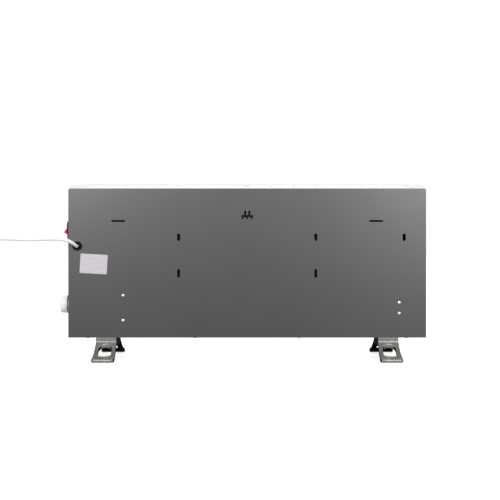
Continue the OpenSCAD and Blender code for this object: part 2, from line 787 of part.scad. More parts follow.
// Curve points of a leg's top and underside, as shares of its reach and of the gap below the body
leg_top_shares = [[0.16, 0.62], [0.46, 0.215]];
leg_under_shares = [[0.55, 0.02], [0.2, 0.33]];
// Outer end of a leg's opening as a share of its reach
leg_hole_share = 0.66;
leg_hole_start = 4;
leg_hole_r = 10;
function leg_point(share, reach) = [share.x * reach, share.y * base_z];
// Side outline of one leg, from the casing face out to its toe and back below
function leg(reach) = concat(
    bezier([0, base_z - foot_face_h], leg_point(leg_top_shares[0], reach),
        leg_point(leg_top_shares[1], reach), [reach - toe_r / 2, toe_h], 12),
    arc(reach - toe_h / 3, toe_h * 2 / 3, toe_h / 3, 90, 0, 4), [[reach, 0]],
    bezier([reach - toe_sole, 0], leg_point(leg_under_shares[0], reach),
        leg_point(leg_under_shares[1], reach), [0, base_z - foot_face_h - foot_wall], 10)
);
function mirrored_leg(p) = [for (i = [len(p) - 1:-1:0]) [-casing_d - p[i].x, p[i].y]];
function foot_outline() = concat([[-casing_d, base_z], [0, base_z]],
    leg(toe_rear), mirrored_leg(leg(toe_front)));
function foot_plan() = concat(
    [[-foot_w / 2, -casing_d], [-foot_w / 2, 0]],
    arc(-toe_w / 2 + toe_r, toe_rear - toe_r, toe_r, 180, 90, 6),
    arc(toe_w / 2 - toe_r, toe_rear - toe_r, toe_r, 90, 0, 6),
    [[foot_w / 2, 0], [foot_w / 2, -casing_d]],
    arc(toe_front_w / 2 - toe_r, -casing_d - toe_front + toe_r, toe_r, 0, -90, 6),
    arc(-toe_front_w / 2 + toe_r, -casing_d - toe_front + toe_r, toe_r, -90, -180, 6)
);
// Opening in a leg: a half round under the body, small round corners near the toe
module leg_hole_2d(reach) {
    round_y = leg_hole_start + leg_hole_w / 2;
    end_y = reach * leg_hole_share;
    translate([0, round_y]) circle(d = leg_hole_w);
    translate([-leg_hole_w / 2, round_y]) square([leg_hole_w, end_y - leg_hole_r - round_y]);
    translate([-leg_hole_w / 2 + leg_hole_r, round_y])
        square([leg_hole_w - 2 * leg_hole_r, end_y - round_y]);
    for (side = [-1, 1]) translate([side * (leg_hole_w / 2 - leg_hole_r), end_y - leg_hole_r])
        circle(r = leg_hole_r);
}
head_room = 1;
module foot() difference() {
    intersection() {
        along_x(-toe_w, 2 * toe_w) polygon(foot_outline());
        linear_extrude(base_z) polygon(foot_plan());
    }
    translate([0, 0, -over]) linear_extrude(base_z - foot_wall) {
        leg_hole_2d(toe_rear);
        translate([0, -casing_d]) mirror([0, 1]) leg_hole_2d(toe_front);
    }
    // Screw holes through the hub, with room for the heads below
    for (side = [-1, 1]) translate([0, control_y + side * foot_screw_y, 0]) {
        cylinder(r = m5_hole_r, h = base_z + over);
        translate([0, 0, -over]) cylinder(r = m5_head_r + head_room, h = base_z - hub_t / 2 + over);
    }
}
module foot_left() color("silver") placed() translate([-foot_x, 0, 0]) foot();
module foot_right() color("silver") placed() translate([foot_x, 0, 0]) foot();

module foot_screws() color("gray") placed() foot_screw_spots() {
    translate([0, 0, base_z - hub_t / 2 - m5_head_h]) cylinder(r = m5_head_r, h = m5_head_h);
    translate([0, 0, base_z - hub_t / 2])
        cylinder(r = m5_r - fit / 2, h = hub_t / 2 + sheet_t + plate_t + screw_proud);
}
module foot_plates() color("lightgray") placed() for (side = [-1, 1]) difference() {
    translate([side * foot_x, control_y, base_z + sheet_t + plate_t / 2])
        cube([plate_w, plate_d, plate_t], center = true);
    foot_screw_spots() translate([0, 0, base_z - over]) cylinder(r = m5_r, h = 3 * plate_t);
}
module casing_screws() color("gray") placed() casing_screw_spots() {
    translate([0, 0, -screw_head_h]) cylinder(r = screw_head_r, h = screw_head_h);
    cylinder(r = screw_r - fit / 2, h = screw_l);
}

// Hairpin heating tube in an aluminium body with four fins
tube_start_x = bracket_left_x - bracket_w - tube_tail;
tube_end_x = bracket_x + bracket_w + tube_out;
fins_x0 = bracket_left_x + fin_end_gap;
fins_x1 = bracket_x - fin_end_gap;
// Directions of the long and the short fins
fin_turns = [50, 130, 230, 310];
short_fin_turns = [20, 160, 200, 340];
short_fin_share = 0.7;
module tube_legs_2d(r) for (side = [-1, 1])
    translate([element_y, element_z + side * leg_spacing / 2]) circle(r = r);
module fins_2d(turns, start, length) for (turn = turns)
    translate([element_y, element_z]) rotate(turn) translate([start, -fin_t / 2]) square([length, fin_t]);
module element_fins() color("darkgray") placed() along_x(fins_x0, fins_x1 - fins_x0) difference() {
    union() {
        translate([element_y, element_z]) square([tube_d + 4 * fin_t, leg_spacing], center = true);
        tube_legs_2d(tube_d / 2 + 2 * fin_t);
        fins_2d(fin_turns, tube_d, fin_l);
        fins_2d(short_fin_turns, tube_d / 2, fin_l * short_fin_share);
    }
    tube_legs_2d(tube_d / 2 + fit / 2);
}
module element_tube() color("slategray") placed() {
    along_x(tube_start_x, tube_end_x - tube_start_x) tube_legs_2d(tube_d / 2);
    translate([tube_start_x, element_y, element_z]) rotate([90, 0, 0]) intersection() {
        rotate_extrude() translate([leg_spacing / 2, 0]) circle(d = tube_d);
        translate([-leg_spacing, -leg_spacing, -tube_d]) cube([leg_spacing, 2 * leg_spacing, 2 * tube_d]);
    }
}
module element_terminals() color("goldenrod") placed() for (side = [-1, 1])
    rod_x(tube_end_x, element_y, element_z + side * leg_spacing / 2, tube_out / 2, m3_r);
module element_bushes() color("ivory") placed()
    for (x = [bracket_x + bracket_t / 2, bracket_left_x - bracket_t / 2])
        along_x(x - element_bush_l / 2, element_bush_l) difference() {
            tube_legs_2d(bush_r);
            tube_legs_2d(tube_d / 2 + fit / 2);
        }

// Z-shaped bracket: a foot on the rear panel, a web with two holes and a toe for the shield
module bracket(height, screw_offset) difference() {
    union() {
        box([0, -sheet_t - bracket_t, -height / 2], [bracket_w, -sheet_t, height / 2]);
        box([0, shield_y, -height / 2], [bracket_t, -sheet_t, height / 2]);
        box([0, shield_y, -height / 2], [bracket_w, shield_y + bracket_t, height / 2]);
    }
    for (side = [-1, 1]) {
        rod_y(bracket_w / 2, side * screw_offset, over, casing_d / 3, screw_r + fit / 2);
        rod_x(-over, element_y, side * leg_spacing / 2, bracket_t + 2 * over, bush_r + fit / 2);
        rod_y(bracket_w / 2, side * rivet_z, shield_y + bracket_t + over, bracket_t + 2 * over,
            rivet_r + fit / 2);
    }
}
rivet_r = 1.6;
rivet_z = 18;
rivet_head_t = 1;
module element_bracket_right() color("lightsteelblue") placed()
    translate([bracket_x, 0, element_z]) bracket(bracket_h, bracket_screw);
module element_bracket_left() color("lightsteelblue") placed()
    translate([bracket_left_x, 0, element_z]) mirror([1, 0, 0]) bracket(bracket_left_h, bracket_left_screw);

shield_low = base_z + shield_rise;
module heat_shield() color("lightgray") placed() difference() {
    box([bracket_left_x - bracket_w, shield_y - sheet_t, shield_low],
        [bracket_x + bracket_w, shield_y, shield_low + shield_h]);
    for (x = rivet_places()) for (side = [-1, 1])
        rod_y(x, element_z + side * rivet_z, shield_y + over, sheet_t + 2 * over, rivet_r + fit / 2);
}
function rivet_places() = [bracket_left_x - bracket_w / 2, bracket_x + bracket_w / 2];
module shield_rivets() color("silver") placed() for (x = rivet_places()) for (side = [-1, 1]) {
    rivet_start = shield_y + bracket_t + rivet_head_t;
    rod_y(x, element_z + side * rivet_z, rivet_start, bracket_t + sheet_t + 2 * rivet_head_t, rivet_r);
    rod_y(x, element_z + side * rivet_z, rivet_start, rivet_head_t, 2 * rivet_r);
    rod_y(x, element_z + side * rivet_z, shield_y - sheet_t, rivet_head_t, 2 * rivet_r);
}

// Overheat cut-out behind the lanced tongue
cutout_r = 8;
cutout_d = 10;
cutout_plate_w = 36;
cutout_plate_h = 12;
cutout_plate_t = 1;
cutout_gap = 1;
cutout_z = lance_z + lance_h / 2 + cutout_gap + cutout_plate_h / 2;
cutout_back = -sheet_t - cutout_plate_t;
cutout_blade = [cutout_r / 2, cutout_back - cutout_d - blade_l / 2, cutout_z];
module thermal_cutout() color("sienna") placed() {
    box([-cutout_plate_w / 2, cutout_back, cutout_z - cutout_plate_h / 2],
        [cutout_plate_w / 2, -sheet_t, cutout_z + cutout_plate_h / 2]);
    rod_y(0, cutout_z, cutout_back, cutout_d, cutout_r);
    for (side = [-1, 1])
        translate([side * cutout_blade.x, cutout_blade.y + blade_l / 4, cutout_z])
            cube([blade_t, blade_l / 2, blade_w], center = true);
}

// Places of the block's screws as shares of its width
block_screw_shares = [0.25, 0.75];
module terminal_block() color("beige") placed() difference() {
    box([block_x, -sheet_t - block_d, block_z - block_h / 2],
        [block_x + block_w, -sheet_t, block_z + block_h / 2]);
    for (i = [0, 1, 2]) for (share = block_screw_shares)
        rod_y(block_x + share * block_w, pole(i), -sheet_t - block_d / 2, block_d, m3_r + fit);
}
module terminal_screws() color("goldenrod") placed() for (i = [0, 1, 2]) for (share = block_screw_shares)
    rod_y(block_x + share * block_w, pole(i), -sheet_t - block_d / 2, block_d / 2, m3_r);

// Wires between the fittings
wire_r = 1.2;
earth_x = block_x + block_w / 2;
earth_rise = 34;
earth_z = block_z + earth_rise;
earth_wire_y = -sheet_t - m5_head_h / 2;
module wire(a, b, c, d) tube(lead_path(a, b, c, d), wire_r, core_sides);
function block_pole(i) = [block_x, -block_d / 2 - sheet_t, pole(i)];
function blade(side, i) =
    [switch_back_x - blade_l, rocker_side(side), switch_z + blade_shares[i] * switch_body_h];
wire_bow = 30;
module wire_live() color("brown") placed() wire(block_pole(2), block_pole(2) - [wire_bow, 0, 0],
    blade(1, 1) - [2 * wire_bow, 0, 0], blade(1, 1));
module wire_neutral() color("royalblue") placed() wire(block_pole(1), block_pole(1) - [4 * wire_bow, 0, 0],
    cutout_blade - [0, wire_bow, 0], cutout_blade);
thermostat_end = [plate_x - thermostat_t, control_y, knob_z];
function element_end(side) = [tube_end_x + tube_out / 2, element_y, element_z + side * leg_spacing / 2];
module wires_switched() color("black") placed() {
    wire(blade(-1, 0), blade(-1, 0) - [2 * wire_bow, 0, 0],
        element_end(1) + [2 * wire_bow, 0, 0], element_end(1));
    wire(thermostat_end, thermostat_end - [wire_bow, 0, 0],
        element_end(-1) + [wire_bow, 0, 0], element_end(-1));
}
module wire_earth() color("yellowgreen") placed()
    wire(block_pole(0), block_pole(0) - [2 * wire_bow, 0, 0],
        [earth_x - 2 * wire_bow, earth_wire_y, earth_z], [earth_x - m5_head_r, earth_wire_y, earth_z]);
module earth_screw() color("gold") placed() rod_y(earth_x, earth_z, -sheet_t, m5_head_h, m5_head_r);

rear_panel();
front_casing();
end_cap_controls();
end_cap_plain();
outlet_grille_right();
outlet_grille_left();
thermostat_knob();
thermostat_shaft();
dial_ring();
thermostat_body();
thermostat_screws();
switch_housing();
rocker_rear();
rocker_front();
switch_terminals();
cord_bushing();
power_cord();
power_cord_coil();
plug_body();
plug_pins();
lead_inside();
rating_label();
rear_screws();
foot_left();
foot_right();
foot_screws();
foot_plates();
casing_screws();
element_fins();
element_tube();
element_bushes();
element_terminals();
element_bracket_right();
element_bracket_left();
heat_shield();
shield_rivets();
thermal_cutout();
terminal_block();
terminal_screws();
wire_live();
wire_neutral();
wires_switched();
wire_earth();
earth_screw();
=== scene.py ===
"""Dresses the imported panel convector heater: camera, lead, finishes and detailed meshes.

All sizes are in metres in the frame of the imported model. MM turns millimetres into metres.
The heater's rear panel faces +Y and the camera looks at it from behind, as the photograph does.
"""

import json
import math

import bmesh
import bpy
from mathutils import Matrix, Vector


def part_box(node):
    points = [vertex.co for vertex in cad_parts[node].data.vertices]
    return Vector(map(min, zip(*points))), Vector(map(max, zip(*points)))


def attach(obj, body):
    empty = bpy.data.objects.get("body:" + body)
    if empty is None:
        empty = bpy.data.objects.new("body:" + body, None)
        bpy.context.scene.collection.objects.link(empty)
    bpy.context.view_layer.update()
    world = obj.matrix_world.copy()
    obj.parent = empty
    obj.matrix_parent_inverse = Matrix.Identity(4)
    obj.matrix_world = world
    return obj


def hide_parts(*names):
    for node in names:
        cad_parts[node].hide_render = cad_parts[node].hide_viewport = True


MM = 0.001

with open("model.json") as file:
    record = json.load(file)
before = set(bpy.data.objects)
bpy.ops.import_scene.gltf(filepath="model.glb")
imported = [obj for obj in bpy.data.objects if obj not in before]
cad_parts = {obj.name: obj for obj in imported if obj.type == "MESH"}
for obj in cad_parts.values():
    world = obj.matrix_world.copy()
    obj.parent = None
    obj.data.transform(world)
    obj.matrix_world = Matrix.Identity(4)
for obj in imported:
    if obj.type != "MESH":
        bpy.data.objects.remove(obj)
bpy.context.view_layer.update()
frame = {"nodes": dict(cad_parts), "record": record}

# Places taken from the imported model
panel_low, panel_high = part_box("rear_panel")
REAR_Y = panel_high.y
BODY_X = (panel_low.x + panel_high.x) / 2
BASE_Z = panel_low.z
TOP_Z = panel_high.z
HALF_W = (panel_high.x - panel_low.x) / 2
SHEET_T = 0.8 * MM
switch_low, switch_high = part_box("switch_housing")
FOOT_MIDDLE_Y = (switch_low.y + switch_high.y) / 2
casing_low, casing_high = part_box("front_casing")
CASING_MIDDLE = (casing_low + casing_high) / 2

# The photograph's camera
CAMERA_PLACE = (BODY_X, 2.466, 0.3218)
CAMERA_TURN = (math.radians(90), 0, math.radians(180))
LENS = 75.5
SENSOR_W = 36
SHIFT_X = 0.0056
SHIFT_Y = -0.06

# The mains lead
CORD_D = 7.8 * MM
ROUTE_MM = [
    (383.7, 43, 261.5), (383.7, 45, 261.5), (384.2, 51, 262.4), (385.8, 58.6, 264.9),
    (388.8, 65, 268.4), (393.4, 70.2, 271.8), (399.6, 74.2, 274.6), (407.2, 76.8, 276.6),
    (415.8, 78.2, 277.8), (426.2, 78.6, 278.4), (440.2, 78.6, 278.4), (456.2, 78.8, 278),
    (473.2, 79, 277.5), (491.2, 79.2, 277.3), (509.2, 79.5, 277.7), (527.2, 80, 278.5),
    (545.2, 80.8, 279.2), (564.2, 81.8, 278.6), (583.2, 83, 275), (601.2, 84.4, 268.4),
    (618.2, 85.6, 258.8), (634.2, 86.6, 246), (648.2, 87.4, 230.2), (660.2, 87.8, 211.8),
    (669.6, 88, 192), (676.2, 88, 171), (680.2, 88, 149.6), (682, 88, 128), (682.2, 88, 106),
    (682.2, 88, 85), (682.2, 88, 65), (682.2, 86.6, 49), (682.2, 82, 35), (682.2, 74, 22.8),
    (682.2, 63.2, 13.2), (682.2, 50.6, 7), (682.2, 38, 4.4), (682.2, 26, 3.9), (682.2, 15, 3.9),
]
COIL_R = 50 * MM
COIL_STEP = 8.4 * MM
COIL_TURNS = 2
COIL_RINGS = 24
LEAD_OUT = 42 * MM
LEAD_OUT_STEPS = 5
PLUG_R = 18 * MM


def make_camera():
    """The photograph's view: square on to the rear panel, from a little below its top."""
    data = bpy.data.cameras.new("photo_camera")
    data.lens = LENS
    data.sensor_width = SENSOR_W
    data.shift_x = SHIFT_X
    data.shift_y = SHIFT_Y
    camera = bpy.data.objects.new("photo_camera", data)
    camera.location = CAMERA_PLACE
    camera.rotation_euler = CAMERA_TURN
    bpy.context.scene.collection.objects.link(camera)
    bpy.context.scene.camera = camera


def link(name, data):
    piece = bpy.data.objects.new(name, data)
    bpy.context.scene.collection.objects.link(piece)
    return piece


def dress(piece, body, slot, material, *nodes):
    """Puts a finished piece on its body, gives it its finish and hides the CAD nodes it stands for."""
    piece.data.materials.clear()
    piece.data.materials.append(material)
    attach(piece, body)
    if nodes:
        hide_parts(*nodes)
    return piece


def ease(share):
    return share * share * (3 - 2 * share)


def coil_path(end):
    """The lead winds in on the floor, climbs to a second layer and winds out again to its plug."""
    turn = 2 * math.pi
    total = turn * 2 * COIL_TURNS
    points = []
    for i in range(1, 2 * COIL_TURNS * COIL_RINGS):
        angle = turn * i / COIL_RINGS
        radius = COIL_R - COIL_STEP * (total / 2 - abs(total / 2 - angle)) / turn
        rise = ease(min(1, max(0, (angle - total / 2 + turn / 4) / (turn / 2))))
        straight = CORD_D * max(0, 1 - 4 * i / COIL_RINGS)
        points.append(Vector((
            end.x - COIL_R + radius * math.cos(-angle),
            end.y + radius * math.sin(-angle) - straight,
            end.z + COIL_STEP * rise,
        )))
    top = end.z + COIL_STEP
    for i in range(LEAD_OUT_STEPS + 1):
        share = i / LEAD_OUT_STEPS
        y = end.y - (LEAD_OUT - CORD_D) * share
        points.append(Vector((end.x, y, top + (PLUG_R - top) * ease(share))))
    return points + [Vector((end.x, end.y - LEAD_OUT, PLUG_R))]


def make_cord(material):
    """One continuous lead: the photographed sweep, the drop to the floor and the coil."""
    route = [Vector(p) * MM for p in ROUTE_MM]
    points = route + [route[-1] - Vector((0, CORD_D, 0))] + coil_path(route[-1])
    data = bpy.data.curves.new("mains_lead", "CURVE")
    data.dimensions = "3D"
    data.resolution_u = 5
    data.bevel_depth = CORD_D / 2
    data.bevel_resolution = 5
    data.use_fill_caps = True
    spline = data.splines.new("BEZIER")
    spline.bezier_points.add(len(points) - 1)
    for knot, point in zip(spline.bezier_points, points):
        knot.co = point
        knot.handle_left_type = knot.handle_right_type = "AUTO"
    piece = link("mains_lead", data)
    return dress(piece, "heater", "white_pvc", material, "power_cord", "power_cord_coil")


# Materials


def ranged(tree, source, from_low, from_high, to_low, to_high):
    """One node that turns a value of one range into the same share of another."""
    made = tree.nodes.new("ShaderNodeMapRange")
    made.inputs["From Min"].default_value = from_low
    made.inputs["From Max"].default_value = from_high
    made.inputs["To Min"].default_value = to_low
    made.inputs["To Max"].default_value = to_high
    tree.links.new(source, made.inputs["Value"])
    return made.outputs["Result"]


def maths(tree, operation, *values):
    """One arithmetic node over sockets and numbers."""
    made = tree.nodes.new("ShaderNodeMath")
    made.operation = operation
    for value, socket in zip(values, made.inputs):
        if isinstance(value, bpy.types.NodeSocket):
            tree.links.new(value, socket)
        else:
            socket.default_value = value
    return made.outputs["Value"]


class Finish:
    """A node material over object coordinates, with helpers for its grain and variation."""

    def __init__(self, name, colour, roughness, metallic=0.0, coat=0.0, specular=0.5):
        self.material = bpy.data.materials.new(name)
        self.material.use_nodes = True
        self.material.diffuse_color = (*colour, 1)
        self.tree = self.material.node_tree
        self.shader = self.tree.nodes["Principled BSDF"]
        self.shader.inputs["Base Color"].default_value = (*colour, 1)
        self.shader.inputs["Roughness"].default_value = roughness
        self.shader.inputs["Metallic"].default_value = metallic
        self.shader.inputs["Coat Weight"].default_value = coat
        self.shader.inputs["Specular IOR Level"].default_value = specular
        self.colour = colour
        self.roughness = roughness
        self.place = self.tree.nodes.new("ShaderNodeTexCoord").outputs["Object"]
        self.height = None

    def node(self, kind, **inputs):
        made = self.tree.nodes.new(kind)
        for key, value in inputs.items():
            made.inputs[key.replace("_", " ")].default_value = value
        return made

    def join(self, source, target):
        self.tree.links.new(source, target)

    def stretched(self, x, y, z):
        """Object coordinates scaled along each axis, for grain that runs one way."""
        mapping = self.node("ShaderNodeMapping", Scale=(x, y, z))
        self.join(self.place, mapping.inputs["Vector"])
        return mapping.outputs["Vector"]

    def noise(self, size, detail=3.0, place=None, roughness=0.5):
        """Noise whose features are about size metres wide."""
        made = self.node("ShaderNodeTexNoise", Scale=1 / size, Detail=detail, Roughness=roughness)
        self.join(place or self.place, made.inputs["Vector"])
        return made.outputs["Fac"]

    def ramp(self, source, low, high, from_low=0.35, from_high=0.65):
        return ranged(self.tree, source, from_low, from_high, low, high)

    def split(self, vector):
        made = self.tree.nodes.new("ShaderNodeSeparateXYZ")
        self.join(vector, made.inputs["Vector"])
        return made.outputs

    def maths(self, operation, *values):
        return maths(self.tree, operation, *values)

    def normal(self):
        return self.tree.nodes.new("ShaderNodeNewGeometry").outputs["Normal"]

    def mix(self, share, first, second):
        """A colour between two colours or colour sockets."""
        made = self.tree.nodes.new("ShaderNodeMix")
        made.data_type = "RGBA"
        self.join(share, made.inputs["Factor"])
        sockets = [s for s in made.inputs if s.type == "RGBA"]
        for socket, value in zip(sockets, (first, second)):
            if isinstance(value, bpy.types.NodeSocket):
                self.join(value, socket)
            else:
                socket.default_value = (*value, 1)
        return [s for s in made.outputs if s.type == "RGBA"][0]

    def vary_colour(self, share, low, high):
        """The base colour, times low where share is 0 and times high where it is 1."""
        dark = tuple(c * low for c in self.colour)
        light = tuple(min(1, c * high) for c in self.colour)
        self.paint(self.mix(share, dark, light))

    def paint(self, socket):
        self.join(socket, self.shader.inputs["Base Color"])

    def vary_roughness(self, source, spread):
        low = max(0.02, self.roughness - spread)
        high = min(1, self.roughness + spread)
        self.join(self.ramp(source, low, high), self.shader.inputs["Roughness"])

    def bump(self, source, depth, strength=1.0):
        """Adds a layer of surface relief about depth metres deep."""
        made = self.node("ShaderNodeBump", Distance=depth, Strength=strength)
        self.join(source, made.inputs["Height"])
        if self.height:
            self.join(self.height, made.inputs["Normal"])
        self.height = made.outputs["Normal"]
        self.join(self.height, self.shader.inputs["Normal"])


def grey_panel_finish():
    """Pre-painted satin steel with orange peel and faint rolling streaks."""
    f = Finish("grey_panel", (0.039, 0.039, 0.04), 0.38, specular=0.8)
    f.vary_colour(f.ramp(f.noise(160 * MM, 2), 0, 1), 0.97, 1.03)
    f.vary_roughness(f.noise(90 * MM, 2), 0.01)
    f.bump(f.noise(1.6 * MM, 2), 0.025 * MM)
    f.bump(f.noise(4 * MM, 3, f.stretched(0.03, 1, 1)), 0.006 * MM)
    return f.material


COAT_WHITE = (0.88, 0.88, 0.875)
COAT_SHADE = (0.86, 0.86, 0.855)
# Near-black painted shade on the casing's inner faces, where shade falls inside it, and the width over
# which it blends into the white
INSIDE_PAINTED_SHADE = (0.03, 0.03, 0.03)
INSIDE_SHADE_EDGE = 2 * MM


def white_steel_finish():
    """White powder coat outside with a fine even texture, near-black painted shade on the inner faces.
    """
    f = Finish("white_coat_painted_shade_inside", COAT_WHITE, 0.42)
    outside = f.mix(f.ramp(f.noise(160 * MM, 3), 0, 1), COAT_SHADE, COAT_WHITE)
    from_middle = f.node("ShaderNodeMapping", Location=tuple(-CASING_MIDDLE))
    f.join(f.place, from_middle.inputs["Vector"])
    facing = f.tree.nodes.new("ShaderNodeVectorMath")
    facing.operation = "DOT_PRODUCT"
    f.join(from_middle.outputs["Vector"], facing.inputs[0])
    f.join(f.normal(), facing.inputs[1])
    outer = f.ramp(facing.outputs["Value"], 0, 1, -INSIDE_SHADE_EDGE, INSIDE_SHADE_EDGE)
    # Inner faces get the painted shade, outer faces the white coat
    f.paint(f.mix(outer, INSIDE_PAINTED_SHADE, outside))
    f.vary_roughness(f.noise(60 * MM, 4), 0.05)
    f.bump(f.noise(0.9 * MM, 3), 0.025 * MM)
    return f.material


def moulded_finish(name, colour, roughness, grain=0.5 * MM, depth=0.02 * MM, coat=0.0, drift=0.04,
                   specular=0.5):
    """Moulded plastic with a fine spark-eroded grain and slight colour drift."""
    f = Finish(name, colour, roughness, coat=coat, specular=specular)
    f.vary_colour(f.ramp(f.noise(25 * MM, 3), 0, 1), 1 - drift, 1 + drift)
    f.vary_roughness(f.noise(12 * MM, 4), 0.06)
    f.bump(f.noise(grain, 2), depth)
    return f.material


SILVER_LIGHT = (0.33, 0.33, 0.32)
SILVER_FLAKE = (0.25, 0.25, 0.245)
SILVER_WORN = (0.24, 0.24, 0.24)
# Near-black painted shade for the foot's underside and inner sides, where shade falls
PAINTED_SHADE_BLACK = (0.004, 0.004, 0.005)
# Distance from the foot's middle, along its normal, where the silver starts over the painted shade and
# where it is full
SILVER_START = 2 * MM
SILVER_FULL = 14 * MM


def silver_not_shade_share(f):
    """1 where the foot gets silver: faces that look up or outwards, but not sideways; 0 where it gets
    painted shade.
    """
    normal = f.split(f.normal())
    place = f.split(f.place)
    from_middle = f.maths("SUBTRACT", place["Y"], FOOT_MIDDLE_Y)
    outwards = f.ramp(f.maths("MULTIPLY", from_middle, normal["Y"]), 0, 1, SILVER_START, SILVER_FULL)
    upwards = f.ramp(normal["Z"], 0, 1, from_low=0.1, from_high=0.4)
    not_sideways = f.ramp(f.maths("ABSOLUTE", normal["X"]), 1, 0, from_low=0.55, from_high=0.8)
    return f.maths("MULTIPLY", f.maths("MAXIMUM", outwards, upwards), not_sideways)


def foot_finish():
    """Silver on faces that look up or outwards, with near-black, rough painted shade on its sides and
    underside.
    """
    f = Finish("silver_foot_with_painted_shade", SILVER_LIGHT, 0.27, specular=0.1)
    flaked = f.mix(f.ramp(f.noise(0.5 * MM, 1), 0, 1), SILVER_FLAKE, SILVER_LIGHT)
    worn = f.mix(f.ramp(f.noise(9 * MM, 4), 0, 1), SILVER_WORN, SILVER_LIGHT)
    silver = f.mix(f.ramp(f.noise(30 * MM, 2), 0.3, 0.7), flaked, worn)
    # Where the silver share is 0 the foot gets the painted shade instead of silver
    silver_share = silver_not_shade_share(f)
    f.paint(f.mix(silver_share, PAINTED_SHADE_BLACK, silver))
    f.join(f.ramp(silver_share, 0, 0.55, 0, 1), f.shader.inputs["Metallic"])
    shine = f.maths("SUBTRACT", 1.0, f.ramp(f.noise(6 * MM, 2), 0.18, 0.3))
    roughness = f.maths("SUBTRACT", 1.0, f.maths("MULTIPLY", silver_share, shine))
    f.join(roughness, f.shader.inputs["Roughness"])
    f.bump(f.noise(1.2 * MM, 3), 0.003 * MM)
    f.bump(f.noise(14 * MM, 2), 0.3 * MM)
    return f.material


def metal_finish(name, colour, roughness, along, depth=0.01 * MM):
    """Bare or plated metal with fine lines that run along one axis, given as three scales."""
    f = Finish(name, colour, roughness, metallic=1.0)
    lines = f.noise(0.5 * MM, 4, f.stretched(*along))
    f.vary_colour(f.ramp(f.noise(8 * MM, 4), 0, 1), 0.9, 1.05)
    f.vary_roughness(lines, 0.09)
    f.bump(lines, depth)
    return f.material


def spangled_finish():
    """Dull galvanised sheet: broad crystal spangles of differing brightness."""
    f = Finish("galvanised", (0.2, 0.21, 0.22), 0.36, metallic=1.0)
    cells = f.node("ShaderNodeTexVoronoi", Scale=1 / (7 * MM))
    f.join(f.place, cells.inputs["Vector"])
    shade = f.tree.nodes.new("ShaderNodeSeparateColor")
    f.join(cells.outputs["Color"], shade.inputs["Color"])
    f.vary_colour(shade.outputs["Red"], 0.82, 1.08)
    f.vary_roughness(shade.outputs["Green"], 0.08)
    f.bump(f.noise(2 * MM, 3), 0.01 * MM)
    return f.material


def red_rocker_finish():
    """Deep red moulding with a clear gloss."""
    f = Finish("red_rocker", (0.8, 0.003, 0.02), 0.3, coat=0.05, specular=0.2)
    f.vary_colour(f.ramp(f.noise(5 * MM, 3), 0, 1), 0.9, 1.1)
    f.vary_roughness(f.noise(3 * MM, 3), 0.04)
    f.bump(f.noise(0.6 * MM, 2), 0.008 * MM)
    return f.material


LABEL_PAPER = (0.61, 0.585, 0.62)
LABEL_BLOCK_DARK = (0.4, 0.38, 0.42)
LABEL_BLOCK_LIGHT = (0.52, 0.5, 0.535)
# Shares of the label: a ruled line's pitch, a block's length and the gap between blocks
LABEL_LINE = 0.062
LABEL_BLOCK = 0.31
LABEL_GAP = 0.022


def label_finish():
    """Printed film: pale, with faint ruled blocks and no lettering."""
    f = Finish("label_film", LABEL_PAPER, 0.38)
    rows = f.node("ShaderNodeTexBrick", Scale=1.0)
    rows.inputs["Color1"].default_value = (*LABEL_BLOCK_DARK, 1)
    rows.inputs["Color2"].default_value = (*LABEL_BLOCK_LIGHT, 1)
    rows.inputs["Mortar"].default_value = (*LABEL_PAPER, 1)
    rows.inputs["Mortar Size"].default_value = LABEL_GAP
    rows.inputs["Brick Width"].default_value = LABEL_BLOCK
    rows.inputs["Row Height"].default_value = LABEL_LINE
    f.join(f.tree.nodes.new("ShaderNodeUVMap").outputs["UV"], rows.inputs["Vector"])
    f.paint(rows.outputs["Color"])
    f.vary_roughness(f.noise(6 * MM, 3), 0.05)
    f.bump(f.noise(3 * MM, 3), 0.02 * MM)
    return f.material


def insulation_finish(name, colour):
    return moulded_finish(name, colour, 0.4, grain=0.4 * MM, depth=0.01 * MM)


# Stretch of a metal's fine lines along each axis: none, along X, along Y
EVEN = (1, 1, 1)
ALONG_X = (0.04, 1, 1)
ALONG_Y = (1, 0.06, 1)


